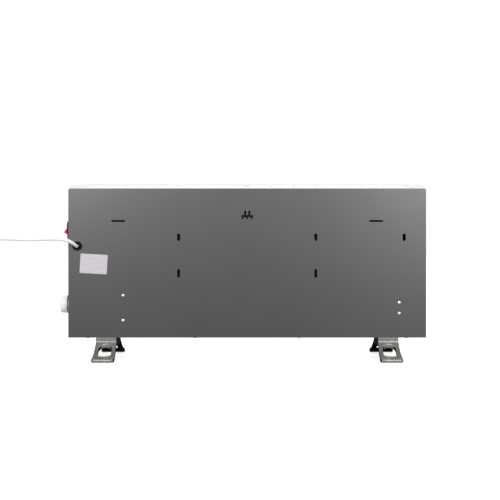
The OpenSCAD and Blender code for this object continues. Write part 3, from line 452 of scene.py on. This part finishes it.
def make_finishes():
    """One material for each slot of the record."""
    return {
        "grey_steel": grey_panel_finish(),
        "white_steel": white_steel_finish(),
        "white_plastic": moulded_finish("white_end_plastic", (0.86, 0.86, 0.855), 0.4, drift=0.008),
        "grille_white": moulded_finish(
            "white_grille_enamel", (0.84, 0.84, 0.835), 0.34, grain=1.2 * MM, drift=0.01,
        ),
        "cream_plastic": moulded_finish(
            "cream_knob", (0.9, 0.87, 0.77), 0.3, grain=0.8 * MM, depth=0.012 * MM, drift=0.015,
        ),
        "black_plastic": moulded_finish("black_plastic", (0.005, 0.005, 0.006), 0.5, specular=0.15),
        "red_plastic": red_rocker_finish(),
        "brown_phenolic": moulded_finish("brown_phenolic", (0.12, 0.045, 0.02), 0.35, grain=0.6 * MM),
        "black_rubber": moulded_finish(
            "black_rubber", (0.002, 0.002, 0.002), 0.3, grain=0.7 * MM, specular=0.3,
        ),
        "white_pvc": moulded_finish("white_pvc", (0.9, 0.9, 0.9), 0.36, grain=1.5 * MM, drift=0.01),
        "label_film": label_finish(),
        "zinc": metal_finish("bright_zinc", (0.86, 0.86, 0.84), 0.36, EVEN),
        "nickel": metal_finish("nickel_pins", (0.74, 0.71, 0.66), 0.2, ALONG_Y),
        "brass": metal_finish("brass", (0.78, 0.57, 0.25), 0.28, EVEN),
        "silver_paint": foot_finish(),
        "galvanised": spangled_finish(),
        "aluminium": metal_finish("extruded_aluminium", (0.7, 0.71, 0.72), 0.38, ALONG_X, 0.03 * MM),
        "element_steel": metal_finish("oxidised_steel", (0.3, 0.26, 0.23), 0.42, ALONG_X),
        "ceramic": moulded_finish("glazed_ceramic", (0.82, 0.79, 0.72), 0.24, grain=2 * MM, coat=0.4),
        "wire_brown": insulation_finish("wire_brown", (0.13, 0.05, 0.02)),
        "wire_blue": insulation_finish("wire_blue", (0.03, 0.13, 0.5)),
        "wire_black": insulation_finish("wire_black", (0.02, 0.02, 0.02)),
        "wire_green": insulation_finish("wire_green", (0.35, 0.5, 0.03)),
    }


# Mesh helpers

# Vertices nearer than this are welded: in a copied solid, and in a shape made here
COPY_WELD = 0.002 * MM
SHAPE_WELD = 0.001 * MM
# Faces of a copied solid that turn less than this, in degrees, become one
FLAT_ANGLE = 0.3


def solid(name, bm):
    """Links a bmesh as a plain object and frees it."""
    data = bpy.data.meshes.new(name)
    bm.to_mesh(data)
    bm.free()
    return link(name, data)


def mesh_piece(name, bm, sharp_angle=35):
    """Turns a bmesh into a smooth-shaded object whose edges stay sharp past an angle."""
    data = bpy.data.meshes.new(name)
    bmesh.ops.recalc_face_normals(bm, faces=bm.faces)
    bm.to_mesh(data)
    bm.free()
    data.shade_smooth()
    data.set_sharp_from_angle(angle=math.radians(sharp_angle))
    piece = link(name, data)
    piece.modifiers.new("flat_faces_stay_flat", "WEIGHTED_NORMAL").keep_sharp = True
    return piece


def copy_of(node):
    """A welded copy of a CAD node's mesh without its triangulation."""
    bm = bmesh.new()
    bm.from_mesh(frame["nodes"][node].data)
    bmesh.ops.remove_doubles(bm, verts=bm.verts, dist=COPY_WELD)
    bmesh.ops.dissolve_limit(
        bm, angle_limit=math.radians(FLAT_ANGLE), verts=bm.verts, edges=bm.edges,
    )
    return bm


def evaluated(piece):
    """The mesh of a piece with its modifiers applied, or of a curve; the piece is removed."""
    bpy.context.view_layer.update()
    made = bpy.data.meshes.new_from_object(piece.evaluated_get(bpy.context.evaluated_depsgraph_get()))
    bpy.data.objects.remove(piece)
    return made


def softened(node, width, segments=2, corner=40):
    """A copy of a CAD node whose sharp edges are rounded by width."""
    bm = copy_of(node)
    limit = math.radians(corner)
    edges = [e for e in bm.edges if e.is_manifold and e.calc_face_angle(0) > limit]
    bmesh.ops.bevel(
        bm, geom=edges, offset=width, segments=segments, profile=0.5,
        affect="EDGES", clamp_overlap=True,
    )
    return mesh_piece(node + "_moulded", bm)


def lathe(profile, steps, radius_of=None):
    """A bmesh turned round +Z from (radius, height) points, closed where the radius is 0.
    radius_of(angle, radius, height) may change the radius round the turn."""
    bm = bmesh.new()
    rings = []
    for radius, height in profile:
        if radius == 0:
            rings.append([bm.verts.new((0, 0, height))])
            continue
        ring = []
        for i in range(steps):
            angle = 2 * math.pi * i / steps
            r = radius_of(angle, radius, height) if radius_of else radius
            ring.append(bm.verts.new((r * math.cos(angle), r * math.sin(angle), height)))
        rings.append(ring)
    for low, high in zip(rings, rings[1:]):
        for i in range(steps):
            j = (i + 1) % steps
            corners = [low[i % len(low)], low[j % len(low)], high[j % len(high)], high[i % len(high)]]
            kept = list(dict.fromkeys(corners))
            if len(kept) > 2:
                bm.faces.new(kept)
    return bm


def rounded(points, radius, steps=4):
    """An open outline with each inner corner replaced by a small curve."""
    made = [Vector(points[0])]
    for a, b, c in zip(points, points[1:], points[2:]):
        a, b, c = Vector(a), Vector(b), Vector(c)
        reach = min(radius, (a - b).length / 2, (c - b).length / 2)
        start = b + (a - b).normalized() * reach
        end = b + (c - b).normalized() * reach
        for i in range(steps + 1):
            t = i / steps
            made.append((1 - t) ** 2 * start + 2 * t * (1 - t) * b + t * t * end)
    return made + [Vector(points[-1])]


def turned(bm, axis):
    """Turns a bmesh built round +Z so that it points along +X, +Y or -Y."""
    turn = {"x": ("Y", 90), "y": ("X", -90), "-y": ("X", 90)}[axis]
    matrix = Matrix.Rotation(math.radians(turn[1]), 4, turn[0])
    bmesh.ops.transform(bm, matrix=matrix, verts=bm.verts)


def moved(bm, x, y, z):
    bmesh.ops.translate(bm, vec=Vector((x, y, z)), verts=bm.verts)


make_camera()
finishes = make_finishes()
lead = make_cord(finishes["white_pvc"])


# Rear panel

BEVEL = 0.25 * MM
PANEL_CUT = 3 * MM
HOOK_SPACING = 598 * MM
HOOK_SLOT_L = 32 * MM
HOOK_SLOT_H = 4 * MM
HOOK_Z = TOP_Z - 75.5 * MM
KEY_SPACING = 318 * MM
KEY_L = 16.5 * MM
KEY_W = 7 * MM
KEY_TIP_W = 4 * MM
KEY_CORNER_R = 1.2 * MM
KEY_Z = TOP_Z - 113.5 * MM
KEY_SIDE_X = -HALF_W + 51 * MM
SPACER_L = 20 * MM
SPACER_W = 6.5 * MM
SPACER_Z = TOP_Z - 197 * MM
LANCE_W = 27 * MM
LANCE_H = 20 * MM
LANCE_GAP = 4.5 * MM
LANCE_CORNER_R = 0.7 * MM
LANCE_TOE_SHARE = 0.4
LANCE_Z = TOP_Z - 62 * MM
TONGUE_W = 5 * MM
FOLD_INSET = 2.9 * MM
FOLD_D = 12 * MM
BUSH_X = HALF_W - 21 * MM
BUSH_Z = TOP_Z - 133.5 * MM
BUSH_HOLE_R = 7.5 * MM
SCREW_HOLE_R = 2.1 * MM
# Height between the lower and the upper screw of a pair
SCREW_SPLIT_Z = BASE_Z + 69 * MM


def circle_outline(x, z, radius, steps=32):
    angles = [2 * math.pi * i / steps for i in range(steps)]
    return [(x + radius * math.cos(a), z + radius * math.sin(a)) for a in angles]


def slot_outline(x, z, length, width, upright=False):
    """A slot with round ends, lying or upright."""
    points = []
    reach = (length - width) / 2
    steps = 8
    for side, start in ((1, -90), (-1, 90)):
        for i in range(steps + 1):
            angle = math.radians(start + 180 * i / steps)
            along = side * reach + width / 2 * math.cos(angle)
            across = width / 2 * math.sin(angle)
            points.append((x - across, z + along) if upright else (x + along, z + across))
    return points


def closed_outline(corners, radius, steps):
    """A closed outline whose corners are replaced by small curves."""
    return [(p.x, p.y) for p in rounded(corners + corners[:2], radius, steps)[1:-1]]


def keyhole_outline(x, z):
    """A hole that narrows over its last quarter to its tip, with small round corners."""
    half = KEY_W / 2
    tip = KEY_TIP_W / 2
    reach = KEY_L / 2
    corners = [
        (-half, reach), (-half, -reach / 2), (-tip, -reach),
        (tip, -reach), (half, -reach / 2), (half, reach),
    ]
    return [(x + across, z + up) for across, up in closed_outline(corners, KEY_CORNER_R, 3)]


def lance_outline():
    """The cut round the lanced tongue: two upright arms, a bar and three toes."""
    top = LANCE_Z + LANCE_H / 2
    bar_top = LANCE_Z
    bar_low = LANCE_Z - LANCE_GAP
    toe_low = LANCE_Z - LANCE_H / 3 - LANCE_GAP / 2
    inner = TONGUE_W / 2
    outer = inner + LANCE_GAP
    half = LANCE_W / 2
    toe = LANCE_GAP / 2
    right = [
        (inner, bar_top), (inner, top), (outer, top),
        (outer, bar_top), (half, bar_top), (half, bar_low),
    ]
    low = []
    for side in (1, 0, -1):
        centre = side * LANCE_W * LANCE_TOE_SHARE
        low += [
            (centre + toe, bar_low), (centre + toe, toe_low),
            (centre - toe, toe_low), (centre - toe, bar_low),
        ]
    left = [(-x, z) for x, z in reversed(right)]
    return closed_outline(right + low + left, LANCE_CORNER_R, 2)


def plate(outlines, thickness, bevel, front_y):
    """A flat upright plate with holes and rounded edges, its rear face at front_y."""
    data = bpy.data.curves.new("plate_outline", "CURVE")
    data.dimensions = "2D"
    data.fill_mode = "BOTH"
    data.extrude = thickness / 2 - bevel
    data.bevel_depth = bevel
    data.bevel_resolution = 1
    data.offset = -bevel
    for outline in outlines:
        spline = data.splines.new("POLY")
        spline.points.add(len(outline) - 1)
        spline.use_cyclic_u = True
        for knot, (x, z) in zip(spline.points, outline):
            knot.co = (x, z, 0, 1)
    made = evaluated(link("plate_outline", data))
    bm = bmesh.new()
    bm.from_mesh(made)
    bpy.data.meshes.remove(made)
    bmesh.ops.remove_doubles(bm, verts=bm.verts, dist=SHAPE_WELD)
    turned(bm, "-y")
    moved(bm, BODY_X, front_y - thickness / 2, 0)
    return bm


def screw_places():
    """Centres of the four rear screws in (x, z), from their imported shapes."""
    spots = {}
    for v in frame["nodes"]["rear_screws"].data.vertices:
        key = (v.co.x > 0, v.co.z > SCREW_SPLIT_Z)
        spots.setdefault(key, []).append(v.co)
    centres = []
    for points in spots.values():
        xs = [p.x for p in points]
        zs = [p.z for p in points]
        centres.append(((min(xs) + max(xs)) / 2, (min(zs) + max(zs)) / 2))
    return centres


def add_box(bm, low, high):
    """Adds a box between two corners to a bmesh."""
    made = bmesh.ops.create_cube(bm, size=1)["verts"]
    bmesh.ops.scale(bm, vec=Vector(high) - Vector(low), verts=made)
    bmesh.ops.translate(bm, vec=(Vector(low) + Vector(high)) / 2, verts=made)


def make_rear_panel():
    """The pressed grey sheet: holes with rolled edges, the cut round the tongue and the inner fold."""
    edge = [
        (-HALF_W, BASE_Z), (HALF_W, BASE_Z), (HALF_W, TOP_Z - PANEL_CUT),
        (HALF_W - PANEL_CUT, TOP_Z), (-HALF_W + PANEL_CUT, TOP_Z), (-HALF_W, TOP_Z - PANEL_CUT),
    ]
    outlines = [edge, lance_outline(), circle_outline(BUSH_X, BUSH_Z, BUSH_HOLE_R)]
    for side in (-1, 1):
        outlines.append(slot_outline(side * HOOK_SPACING / 2, HOOK_Z, HOOK_SLOT_L, HOOK_SLOT_H))
        outlines.append(slot_outline(side * KEY_SPACING / 2, SPACER_Z, SPACER_L, SPACER_W, True))
    for x in (-KEY_SPACING / 2, KEY_SPACING / 2, KEY_SIDE_X):
        outlines.append(keyhole_outline(x, KEY_Z))
    for x, z in screw_places():
        outlines.append(circle_outline(x - BODY_X, z, SCREW_HOLE_R, 16))
    bm = plate(outlines, SHEET_T, BEVEL, REAR_Y)
    inner_y = REAR_Y - SHEET_T
    x0 = BODY_X - HALF_W + FOLD_INSET
    x1 = BODY_X + HALF_W - FOLD_INSET
    z0 = BASE_Z + FOLD_INSET
    z1 = TOP_Z - FOLD_INSET
    add_box(bm, (x0, inner_y - FOLD_D, z0), (x1, inner_y, z0 + SHEET_T))
    add_box(bm, (x0, inner_y - FOLD_D, z1 - SHEET_T), (x1, inner_y, z1))
    for x in (x0, x1 - SHEET_T):
        add_box(bm, (x, inner_y - FOLD_D, z0 + SHEET_T), (x + SHEET_T, inner_y, z1 - SHEET_T))
    piece = mesh_piece("rear_panel_pressed", bm, 30)
    return dress(piece, "heater", "grey_steel", finishes["grey_steel"], "rear_panel")


make_rear_panel()


# Strain relief

BUSH_FLANGE_R = 11.25 * MM
BUSH_FLANGE_T = 3 * MM
BUSH_OUT = 8 * MM
BUSH_TAIL = 14 * MM
BUSH_TAIL_R = 6.4 * MM
BUSH_TAIL_TAPER = 0.8 * MM
BUSH_LIP_R = 9 * MM
BUSH_LIP_T = 2 * MM
BUSH_NECK_R = 7.4 * MM
BUSH_NECK_PLAY = 0.2 * MM
BUSH_BORE_R = 4 * MM
BUSH_TIP_R = 5.9 * MM
BUSH_TIP_FLARE = 0.8 * MM
BUSH_TIP_STEP = 0.4 * MM
BUSH_TIP_RISE = 2.6 * MM
BUSH_GROOVE_R = 8.2 * MM
BUSH_GROOVE_D = 0.9 * MM
BUSH_GROOVE_EDGE_R = 9.4 * MM
BUSH_CORNER_R = 0.9 * MM


def make_bushing():
    """Black strain relief: rolled flange, grooved snout, snap neck and inner tail."""
    step_r = BUSH_TIP_R + BUSH_TIP_FLARE
    step_z = BUSH_FLANGE_T + BUSH_TIP_RISE
    neck_end = -SHEET_T - BUSH_NECK_PLAY
    tail_end = -SHEET_T - BUSH_TAIL
    outline = [
        (BUSH_BORE_R, BUSH_OUT), (BUSH_TIP_R, BUSH_OUT), (step_r, step_z),
        (step_r - BUSH_TIP_STEP, step_z - BUSH_TIP_STEP),
        (BUSH_GROOVE_R, BUSH_FLANGE_T - BUSH_GROOVE_D), (BUSH_GROOVE_EDGE_R, BUSH_FLANGE_T),
        (BUSH_FLANGE_R, BUSH_FLANGE_T), (BUSH_FLANGE_R, 0), (BUSH_NECK_R, 0),
        (BUSH_NECK_R, neck_end), (BUSH_LIP_R, neck_end), (BUSH_NECK_R, neck_end - BUSH_LIP_T),
        (BUSH_TAIL_R, neck_end - BUSH_LIP_T), (BUSH_TAIL_R - BUSH_TAIL_TAPER, tail_end),
        (BUSH_BORE_R, tail_end),
    ]
    bm = lathe([tuple(p) for p in rounded(outline, BUSH_CORNER_R, 3)] + [outline[0]], 48)
    turned(bm, "y")
    moved(bm, BODY_X + BUSH_X, REAR_Y, BUSH_Z)
    bmesh.ops.remove_doubles(bm, verts=bm.verts, dist=SHAPE_WELD)
    piece = mesh_piece("strain_relief", bm)
    return dress(piece, "heater", "black_rubber", finishes["black_rubber"], "cord_bushing")


make_bushing()


# Thermostat knob

knob_low, knob_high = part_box("thermostat_knob")
KNOB_R = (knob_high.z - knob_low.z) / 2
KNOB_L = knob_high.x - knob_low.x
KNOB_FLUTES = 36
KNOB_FLUTE_D = 0.5 * MM
KNOB_BORE_R = 3.1 * MM
KNOB_BORE_L = 12 * MM
KNOB_SKIRT_T = 3.5 * MM
KNOB_EDGE = 1.2 * MM
KNOB_TAPER = 1 * MM
KNOB_CORNER_R = 0.7 * MM
POINTER_HALF_W = 0.9 * MM
POINTER_DROP = 0.1 * MM
POINTER_START = 0.35
POINTER_ROUND = 0.4 * MM


def fluted(angle, radius, height):
    """The knob's radius with its flutes, which only the grip has."""
    if height <= KNOB_SKIRT_T + KNOB_EDGE / 2 or radius < KNOB_R - KNOB_TAPER - KNOB_EDGE:
        return radius
    return radius - KNOB_FLUTE_D * max(0.0, math.cos(KNOB_FLUTES * angle)) ** 2


def add_pointer(bm):
    """Adds the raised bar on the knob's face to a bmesh."""
    bar = bmesh.new()
    add_box(
        bar,
        (KNOB_R * POINTER_START, -POINTER_HALF_W, KNOB_L - KNOB_EDGE),
        (KNOB_R - KNOB_TAPER - KNOB_EDGE, POINTER_HALF_W, KNOB_L - POINTER_DROP),
    )
    bmesh.ops.bevel(bar, geom=list(bar.edges), offset=POINTER_ROUND, segments=2, affect="EDGES")
    data = bpy.data.meshes.new("pointer")
    bar.to_mesh(data)
    bar.free()
    bm.from_mesh(data)
    bpy.data.meshes.remove(data)


def make_knob():
    """Fluted knob with a skirt, a dished face, a raised pointer and a bore for its shaft."""
    grip_r = KNOB_R - KNOB_TAPER
    outline = [
        (0, KNOB_BORE_L), (KNOB_BORE_R, KNOB_BORE_L), (KNOB_BORE_R, 0), (KNOB_R, 0),
        (KNOB_R, KNOB_SKIRT_T), (KNOB_R - KNOB_TAPER / 2, KNOB_SKIRT_T + KNOB_EDGE),
        (grip_r, KNOB_L - KNOB_EDGE / 2), (grip_r - 1.5 * KNOB_EDGE, KNOB_L),
        (grip_r - 3 * KNOB_EDGE, KNOB_L - KNOB_EDGE / 2), (0, KNOB_L - KNOB_EDGE),
    ]
    profile = [tuple(p) for p in rounded(outline, KNOB_CORNER_R, 3)]
    bm = lathe(profile, 8 * KNOB_FLUTES, fluted)
    add_pointer(bm)
    bmesh.ops.rotate(bm, matrix=Matrix.Rotation(math.radians(90), 3, "Z"), verts=bm.verts)
    turned(bm, "x")
    centre = (knob_low + knob_high) / 2
    moved(bm, knob_low.x, centre.y, centre.z)
    piece = mesh_piece("fluted_knob", bm, 50)
    return dress(piece, "knob", "cream_plastic", finishes["cream_plastic"], "thermostat_knob")


make_knob()


# Rating label

LABEL_W = 63 * MM
LABEL_H = 45 * MM
LABEL_T = 0.35 * MM
LABEL_CORNER_R = 2 * MM
LABEL_TURN = -3.2
label_low, label_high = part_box("rating_label")


def make_label():
    """A thin film with round corners, set at a slight slant, and blank but for ruled blocks."""
    bm = bmesh.new()
    loop = []
    corners = ((1, -1, -90), (1, 1, 0), (-1, 1, 90), (-1, -1, 180))
    steps = 4
    for sx, sz, start in corners:
        for i in range(steps + 1):
            angle = math.radians(start + 90 * i / steps)
            loop.append((
                sx * (LABEL_W / 2 - LABEL_CORNER_R) + LABEL_CORNER_R * math.cos(angle),
                sz * (LABEL_H / 2 - LABEL_CORNER_R) + LABEL_CORNER_R * math.sin(angle),
            ))
    uv = bm.loops.layers.uv.new("UVMap")
    front = bm.faces.new([bm.verts.new((x, LABEL_T, z)) for x, z in loop])
    back = bm.faces.new([bm.verts.new((x, 0, z)) for x, z in reversed(loop)])
    n = len(loop)
    for i in range(n):
        j = (i + 1) % n
        bm.faces.new((front.verts[i], front.verts[j], back.verts[n - 1 - j], back.verts[n - 1 - i]))
    for face in bm.faces:
        for corner in face.loops:
            corner[uv].uv = (corner.vert.co.x / LABEL_W + 0.5, corner.vert.co.z / LABEL_H + 0.5)
    turn = Matrix.Rotation(math.radians(LABEL_TURN), 3, "Y")
    bmesh.ops.rotate(bm, matrix=turn, verts=bm.verts)
    centre = (label_low + label_high) / 2
    moved(bm, centre.x, REAR_Y, centre.z)
    piece = mesh_piece("blank_label", bm)
    return dress(piece, "heater", "label_film", finishes["label_film"], "rating_label")


make_label()


# Screws in the rear panel

SCREW_HEAD_R = 3.75 * MM
SCREW_HEAD_H = 2.2 * MM
SCREW_RIM_SHARE = 0.35
SCREW_DOME_STEPS = 8
SCREW_R = 1.8 * MM
SCREW_L = 8 * MM
SCREW_TIP_SHARE = 0.6
SCREW_TIP_L = 1 * MM
CROSS_W = 0.8 * MM
CROSS_L = 2.1 * MM
CROSS_D = 1.1 * MM
# Turn of the first screw's cross, and how much further each next one is turned, in degrees
CROSS_TURN = 20
CROSS_STEP = 25


def screw_profile():
    """A pan head screw from its tip to the top of its head, as (radius, height) points."""
    profile = [
        (0, -SCREW_L), (SCREW_R * SCREW_TIP_SHARE, -SCREW_L), (SCREW_R, -SCREW_L + SCREW_TIP_L),
        (SCREW_R, 0), (SCREW_HEAD_R, 0),
    ]
    for i in range(SCREW_DOME_STEPS):
        angle = math.radians(90 * i / SCREW_DOME_STEPS)
        share = SCREW_RIM_SHARE + (1 - SCREW_RIM_SHARE) * math.sin(angle)
        profile.append((SCREW_HEAD_R * math.cos(angle), SCREW_HEAD_H * share))
    crown = [(1.6 * MM, SCREW_HEAD_H * 0.97), (0.8 * MM, SCREW_HEAD_H), (0, SCREW_HEAD_H)]
    return profile + crown


def cross_cutter(turn):
    """Two crossed bars at the top of a screw's head, turned by an angle in degrees."""
    bm = bmesh.new()
    for quarter in (0, 90):
        matrix = Matrix.Rotation(math.radians(quarter + turn), 3, "Z")
        bar = bmesh.ops.create_cube(bm, size=1)["verts"]
        bmesh.ops.scale(bm, vec=(2 * CROSS_L, CROSS_W, 2 * CROSS_D), verts=bar)
        bmesh.ops.rotate(bm, matrix=matrix, verts=bar)
        bmesh.ops.translate(bm, vec=(0, 0, SCREW_HEAD_H), verts=bar)
    return solid("screw_cutter", bm)


def make_rear_screws():
    """Pan heads with a cross recess, one group for the four screws."""
    whole = bmesh.new()
    for index, (x, z) in enumerate(screw_places()):
        body = solid("screw_body", lathe(screw_profile(), 32))
        cutter = cross_cutter(CROSS_TURN + CROSS_STEP * index)
        cut = body.modifiers.new("recess", "BOOLEAN")
        cut.object = cutter
        cut.operation = "DIFFERENCE"
        cut.solver = "EXACT"
        cut.use_self = True
        made = evaluated(body)
        bpy.data.objects.remove(cutter)
        one = bmesh.new()
        one.from_mesh(made)
        turned(one, "y")
        moved(one, x, REAR_Y, z)
        one.to_mesh(made)
        one.free()
        whole.from_mesh(made)
        bpy.data.meshes.remove(made)
    piece = mesh_piece("cross_head_screws", whole, 40)
    return dress(piece, "heater", "zinc", finishes["zinc"], "rear_screws")


make_rear_screws()


# Feet

FOOT_VOXEL = 1.0 * MM
FOOT_MELT = 0.5
FOOT_MELT_STEPS = 5


def make_foot(node, name):
    """The arched foot as a casting: the same form with all its edges melted round."""
    bm = copy_of(node)
    bmesh.ops.triangulate(bm, faces=bm.faces)
    rough = solid(name + "_rough", bm)
    remesh = rough.modifiers.new("remesh", "REMESH")
    remesh.mode = "VOXEL"
    remesh.voxel_size = FOOT_VOXEL
    melt = rough.modifiers.new("melt", "SMOOTH")
    melt.factor = FOOT_MELT
    melt.iterations = FOOT_MELT_STEPS
    mesh = evaluated(rough)
    mesh.name = name
    mesh.shade_smooth()
    piece = link(name, mesh)
    return dress(piece, "heater", "silver_paint", finishes["silver_paint"], node)


make_foot("foot_left", "foot_left_cast")
make_foot("foot_right", "foot_right_cast")


# Plug

PLUG_HOLE_R = 4.6 * MM
PLUG_BOOT_R = 5.2 * MM
PLUG_BOOT_END_R = 9 * MM
PLUG_BOOT_L = 22 * MM
PLUG_L = 34 * MM
PLUG_RIBS = 6
# One rib of the boot: height over the boot in mm, and share of the rib's own stretch
PLUG_RIB = [(0, 0.1), (0.9, 0.25), (0.9, 0.6), (-0.3, 0.78), (-0.3, 0.95)]
# Radius of the grip and distance from the boot's end, in mm
PLUG_GRIP_MM = [
    (9.5, 0), (11.5, 1.5), (13.2, 5), (13.6, 8), (13.8, 11), (15.2, 14.5), (17.4, 17),
]
PLUG_RIM_START = 18.5 * MM
# The face's round rim: distance in from the side and back from the face, in mm
PLUG_RIM_MM = [(0, 1.5), (0.4, 0.5), (1.5, 0)]


def plug_profile():
    """The plug from the cord to its flat face, as (radius, height) points."""
    profile = [(0, 0), (PLUG_HOLE_R, 0)]
    step = PLUG_BOOT_L / PLUG_RIBS
    for i in range(PLUG_RIBS):
        radius = PLUG_BOOT_R + (PLUG_BOOT_END_R - PLUG_BOOT_R) * i / PLUG_RIBS
        profile += [(radius + rise * MM, step * (i + share)) for rise, share in PLUG_RIB]
    profile += [(radius * MM, PLUG_BOOT_L + along * MM) for radius, along in PLUG_GRIP_MM]
    profile.append((PLUG_R, PLUG_BOOT_L + PLUG_RIM_START))
    face = PLUG_BOOT_L + PLUG_L
    profile += [(PLUG_R - inset * MM, face - back * MM) for inset, back in PLUG_RIM_MM]
    return profile + [(0, face)]


def make_plug():
    """Overmoulded round plug: ribbed boot, waisted grip, flat face and side channels."""
    bm = lathe(plug_profile(), 96)
    channel_x = PLUG_R - PLUG_R / 6
    channel_y = PLUG_R / 4
    channel_start = PLUG_BOOT_L + PLUG_L / 2
    for v in bm.verts:
        if v.co.z > channel_start and abs(v.co.y) < channel_y and abs(v.co.x) > channel_x:
            v.co.x = math.copysign(channel_x, v.co.x)
    turned(bm, "-y")
    low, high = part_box("plug_body")
    moved(bm, (low.x + high.x) / 2, high.y, PLUG_R)
    piece = mesh_piece("moulded_plug", bm, 40)
    return dress(piece, "heater", "white_pvc", finishes["white_pvc"], "plug_body")


plug = make_plug()


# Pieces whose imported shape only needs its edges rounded

SOFTENED = {
    "end_cap_controls": 0.5 * MM,
    "end_cap_plain": 0.5 * MM,
    "switch_housing": 0.5 * MM,
    "rocker_rear": 0.3 * MM,
    "rocker_front": 0.3 * MM,
    "foot_plates": 0.3 * MM,
    "terminal_block": 0.5 * MM,
    "thermal_cutout": 0.3 * MM,
    "thermostat_body": 0.4 * MM,
}

body_of_node = {n: b for b, group in frame["record"]["behaviour"]["bodies"].items() for n in group}
slot_of_node = {s["node"]: s["material_slot"] for s in frame["record"]["subparts"]}

for node, width in SOFTENED.items():
    slot = slot_of_node[node]
    dress(softened(node, width), body_of_node[node], slot, finishes[slot], node)

for node, piece in frame["nodes"].items():
    piece.data.materials.clear()
    piece.data.materials.append(finishes[slot_of_node[node]])


# Floor, background and lights

# Brightness of the surroundings behind the heater and on the camera's side
BACKDROP = 1.15
CAMERA_SIDE = 0.45
# Shares of it that come from straight below and straight above
BELOW_SHARE = 0.2
ABOVE_SHARE = 0.72
# How the brightness changes with the direction: axis, its low and high end, value at each
FADES = [
    ("Y", 0.15, 0.65, BACKDROP, CAMERA_SIDE),
    ("Z", -0.5, -0.1, BELOW_SHARE, 1.0),
    ("Z", 0.3, 0.9, 1.0, ABOVE_SHARE),
]
# Name, place, what it faces, power, width and height
LAMPS = [
    ("overhead", (-0.3, 2.2, 1.1), (-0.1, 0, 0.3), 17, 2.0, 0.5),
    ("corner_left", (0.95, 2.4, 0.75), (0.4, 0, 0.35), 16, 0.3, 0.3),
    ("corner_right", (-1.05, 2.4, 0.65), (-0.4, 0, 0.35), 18, 0.5, 0.5),
]
# Size, albedo and own light of the floor and the dome; the floor's keeps its shadows pale
FLOOR_HALF = 8
FLOOR_ALBEDO = 0.95
FLOOR_GLOW = 0.5
DOME_R = 7
DOME_ALBEDO = 0.02
DOME_GLOW = 1.1


def make_stage(name, bm, albedo, glow):
    """A pale studio surface that is only seen: it throws no light or shadow on the heater."""
    surface = solid(name, bm)
    f = Finish(name, (albedo, albedo, albedo), 0.7, specular=0.0)
    f.vary_roughness(f.noise(0.3, 2), 0.03)
    f.shader.inputs["Emission Color"].default_value = (1, 1, 1, 1)
    f.shader.inputs["Emission Strength"].default_value = glow
    f.material.cycles.emission_sampling = "NONE"
    surface.data.materials.append(f.material)
    surface.visible_diffuse = False
    surface.visible_glossy = False
    surface.visible_transmission = False
    surface.visible_shadow = False


def make_floor():
    bm = bmesh.new()
    bmesh.ops.create_grid(bm, x_segments=1, y_segments=1, size=FLOOR_HALF)
    make_stage("pale_floor", bm, FLOOR_ALBEDO, FLOOR_GLOW)


def make_dome():
    """White all round, so that every view has the photograph's plain background."""
    bm = bmesh.new()
    bmesh.ops.create_uvsphere(bm, u_segments=48, v_segments=24, radius=DOME_R)
    make_stage("white_dome", bm, DOME_ALBEDO, DOME_GLOW)


def area_light(name, place, aim, power, size, size_y):
    data = bpy.data.lights.new(name, "AREA")
    data.energy = power
    data.shape = "RECTANGLE"
    data.size = size
    data.size_y = size_y
    light = link(name, data)
    light.location = place
    light.rotation_euler = (Vector(aim) - Vector(place)).to_track_quat("-Z", "Y").to_euler()
    light.visible_camera = False


def make_light():
    """White behind the heater, dimmer on the camera's side and dark below, with soft lamps."""
    world = bpy.data.worlds.new("studio")
    world.use_nodes = True
    bpy.context.scene.world = world
    tree = world.node_tree
    towards = tree.nodes.new("ShaderNodeSeparateXYZ")
    direction = tree.nodes.new("ShaderNodeTexCoord").outputs["Generated"]
    tree.links.new(direction, towards.inputs["Vector"])
    across, below, above = [ranged(tree, towards.outputs[axis], *span) for axis, *span in FADES]
    level = maths(tree, "MULTIPLY", across, below)
    backdrop = tree.nodes["Background"]
    backdrop.inputs["Color"].default_value = (1, 1, 1, 1)
    tree.links.new(maths(tree, "MULTIPLY", level, above), backdrop.inputs["Strength"])
    for lamp in LAMPS:
        area_light(*lamp)


make_floor()
make_dome()
make_light()
bpy.context.scene.view_settings.view_transform = "Standard"
